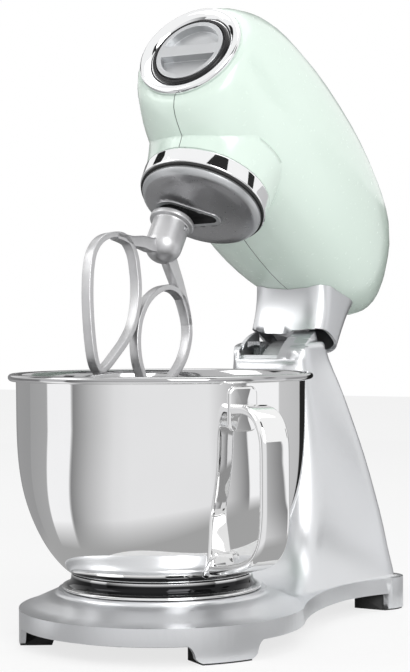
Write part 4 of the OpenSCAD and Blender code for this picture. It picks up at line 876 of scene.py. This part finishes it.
def towards(spot, target):
    # turn that points -z from the spot to the target
    return (Vector(target) - Vector(spot)).to_track_quat("-Z", "Y")


def addLamp(name, spot, target, size, power):
    # soft rectangle of light, which the camera doesn't see
    data = bpy.data.lights.new(name, "AREA")
    data.shape = "RECTANGLE"
    data.size, data.size_y = size
    data.energy = power
    lamp = addObject(name, data)
    lamp.location = spot
    lamp.rotation_euler = towards(spot, target).to_euler()
    lamp.visible_camera = False


def addSheet(name, points, faces, material):
    # plain mesh of the studio, as it is drawn
    mesh = bpy.data.meshes.new(name)
    mesh.from_pydata(points, [], faces)
    mesh.materials.append(material)
    return addObject(name, mesh)


def addFloor():
    # pale sheet, mostly white to the camera, that still shows the shadow
    material, tree, shader = startMaterial("floorSheet")[:3]
    shader.inputs["Base Color"].default_value = (*studio["floorColor"], 1)
    shader.inputs["Roughness"].default_value = studio["floorRough"]
    glow = tree.nodes.new("ShaderNodeEmission")
    glow.inputs["Strength"].default_value = 1.0
    seen = tree.nodes.new("ShaderNodeLightPath").outputs
    mix = tree.nodes.new("ShaderNodeMixShader")
    share = reckon(tree, "MULTIPLY", seen["Is Camera Ray"], studio["floorWhite"])
    for slot, output in enumerate((share, shader.outputs[0], glow.outputs[0])):
        tree.links.new(output, mix.inputs[slot])
    tree.links.new(mix.outputs[0], tree.nodes["Material Output"].inputs["Surface"])
    s = studio["floorSize"]
    sheet = addSheet("floorSheet", [(-s, -s, 0), (s, -s, 0), (s, s, 0), (-s, s, 0)], [(0, 1, 2, 3)], material)


def glowing(name):
    # material that gives light and reflects none
    material, tree, shader, where = startMaterial(name)
    shader.inputs["Base Color"].default_value = (0, 0, 0, 1)
    shader.inputs["Specular IOR Level"].default_value = 0
    shader.inputs["Emission Strength"].default_value = 1.0
    return material, tree, shader, where


def onlyInMirrors(thing):
    # seen by glossy rays alone
    thing.visible_camera = thing.visible_diffuse = thing.visible_shadow = False
    thing.visible_transmission = thing.visible_volume_scatter = False


def vectorStep(tree, operation, vector, output):
    # one step of arithmetic on a vector: the node, and its output of that name
    step = tree.nodes.new("ShaderNodeVectorMath")
    step.operation = operation
    tree.links.new(vector, step.inputs[0])
    return step, step.outputs[output]


def roomPoints(p):
    # the inner edge of the ground is narrower sideways, to go round the object
    return np.concatenate([p[:1] * [studio["roomNarrow"], 1, 1], p[1:]])


def addMirroredRoom():
    # round wall and ground that only mirrors see: the wall's brightness follows the direction round the bowl,
    # atan2(y, x), and the ground fades to plain grey near the object
    material, tree, shader, where = glowing("mirroredRoom")
    subtract, fromBowl = vectorStep(tree, "SUBTRACT", where, "Vector")
    subtract.inputs[1].default_value = (layout["bowlX"] * layout["mm"], layout["bowlY"] * layout["mm"], 0)
    turn = reckon(tree, "ARCTAN2", axisOf(tree, fromBowl, "Y"), axisOf(tree, fromBowl, "X"))
    ramp = tree.nodes.new("ShaderNodeValToRGB")
    tree.links.new(between(tree, turn, 0, 1, -math.pi, math.pi), ramp.inputs["Fac"])
    stops = ramp.color_ramp.elements
    while len(stops) < len(studio["stops"]):
        stops.new(0.5)
    for stop, (degrees, level) in zip(stops, studio["stops"]):
        stop.position, stop.color = (degrees + 180) / 360, (level, level, level * studio["blueGain"], 1)
    away = vectorStep(tree, "LENGTH", where, "Value")[1]
    fade = between(tree, away, 0, 1, *studio["groundFade"])
    tree.links.new(mixedColor(tree, fade, (studio["ground"],) * 3, ramp.outputs["Color"]),
                   shader.inputs["Emission Color"])
    points, faces = lathe(studio["roomProfile"], studio["roomSides"], roomPoints)
    onlyInMirrors(addSheet("mirroredRoom", points.tolist(), faces[0].tolist(), material))


def addCard(name, spot, target, size, shade):
    # plain card that puts one of the studio's dark or grey shapes into the metal
    material, tree, shader = glowing(name)[:3]
    shader.inputs["Emission Color"].default_value = (shade, shade, shade, 1)
    facing = towards(spot, target).to_matrix().to_4x4()
    facing.translation = Vector(spot)
    w, h = size[0] / 2, size[1] / 2
    points = [facing @ Vector(p) for p in ((-w, -h, 0), (w, -h, 0), (w, h, 0), (-w, h, 0))]
    onlyInMirrors(addSheet(name, points, [(0, 1, 2, 3)], material))


bpy.context.scene.view_settings.view_transform = "Standard"
setCamera()
setWorld()
addFloor()
addMirroredRoom()
for lamp in studio["lamps"]:
    addLamp(*lamp)
for card in studio["cards"]:
    addCard(*card)
print("floor, light and camera set")

bpy.context.view_layer.update()
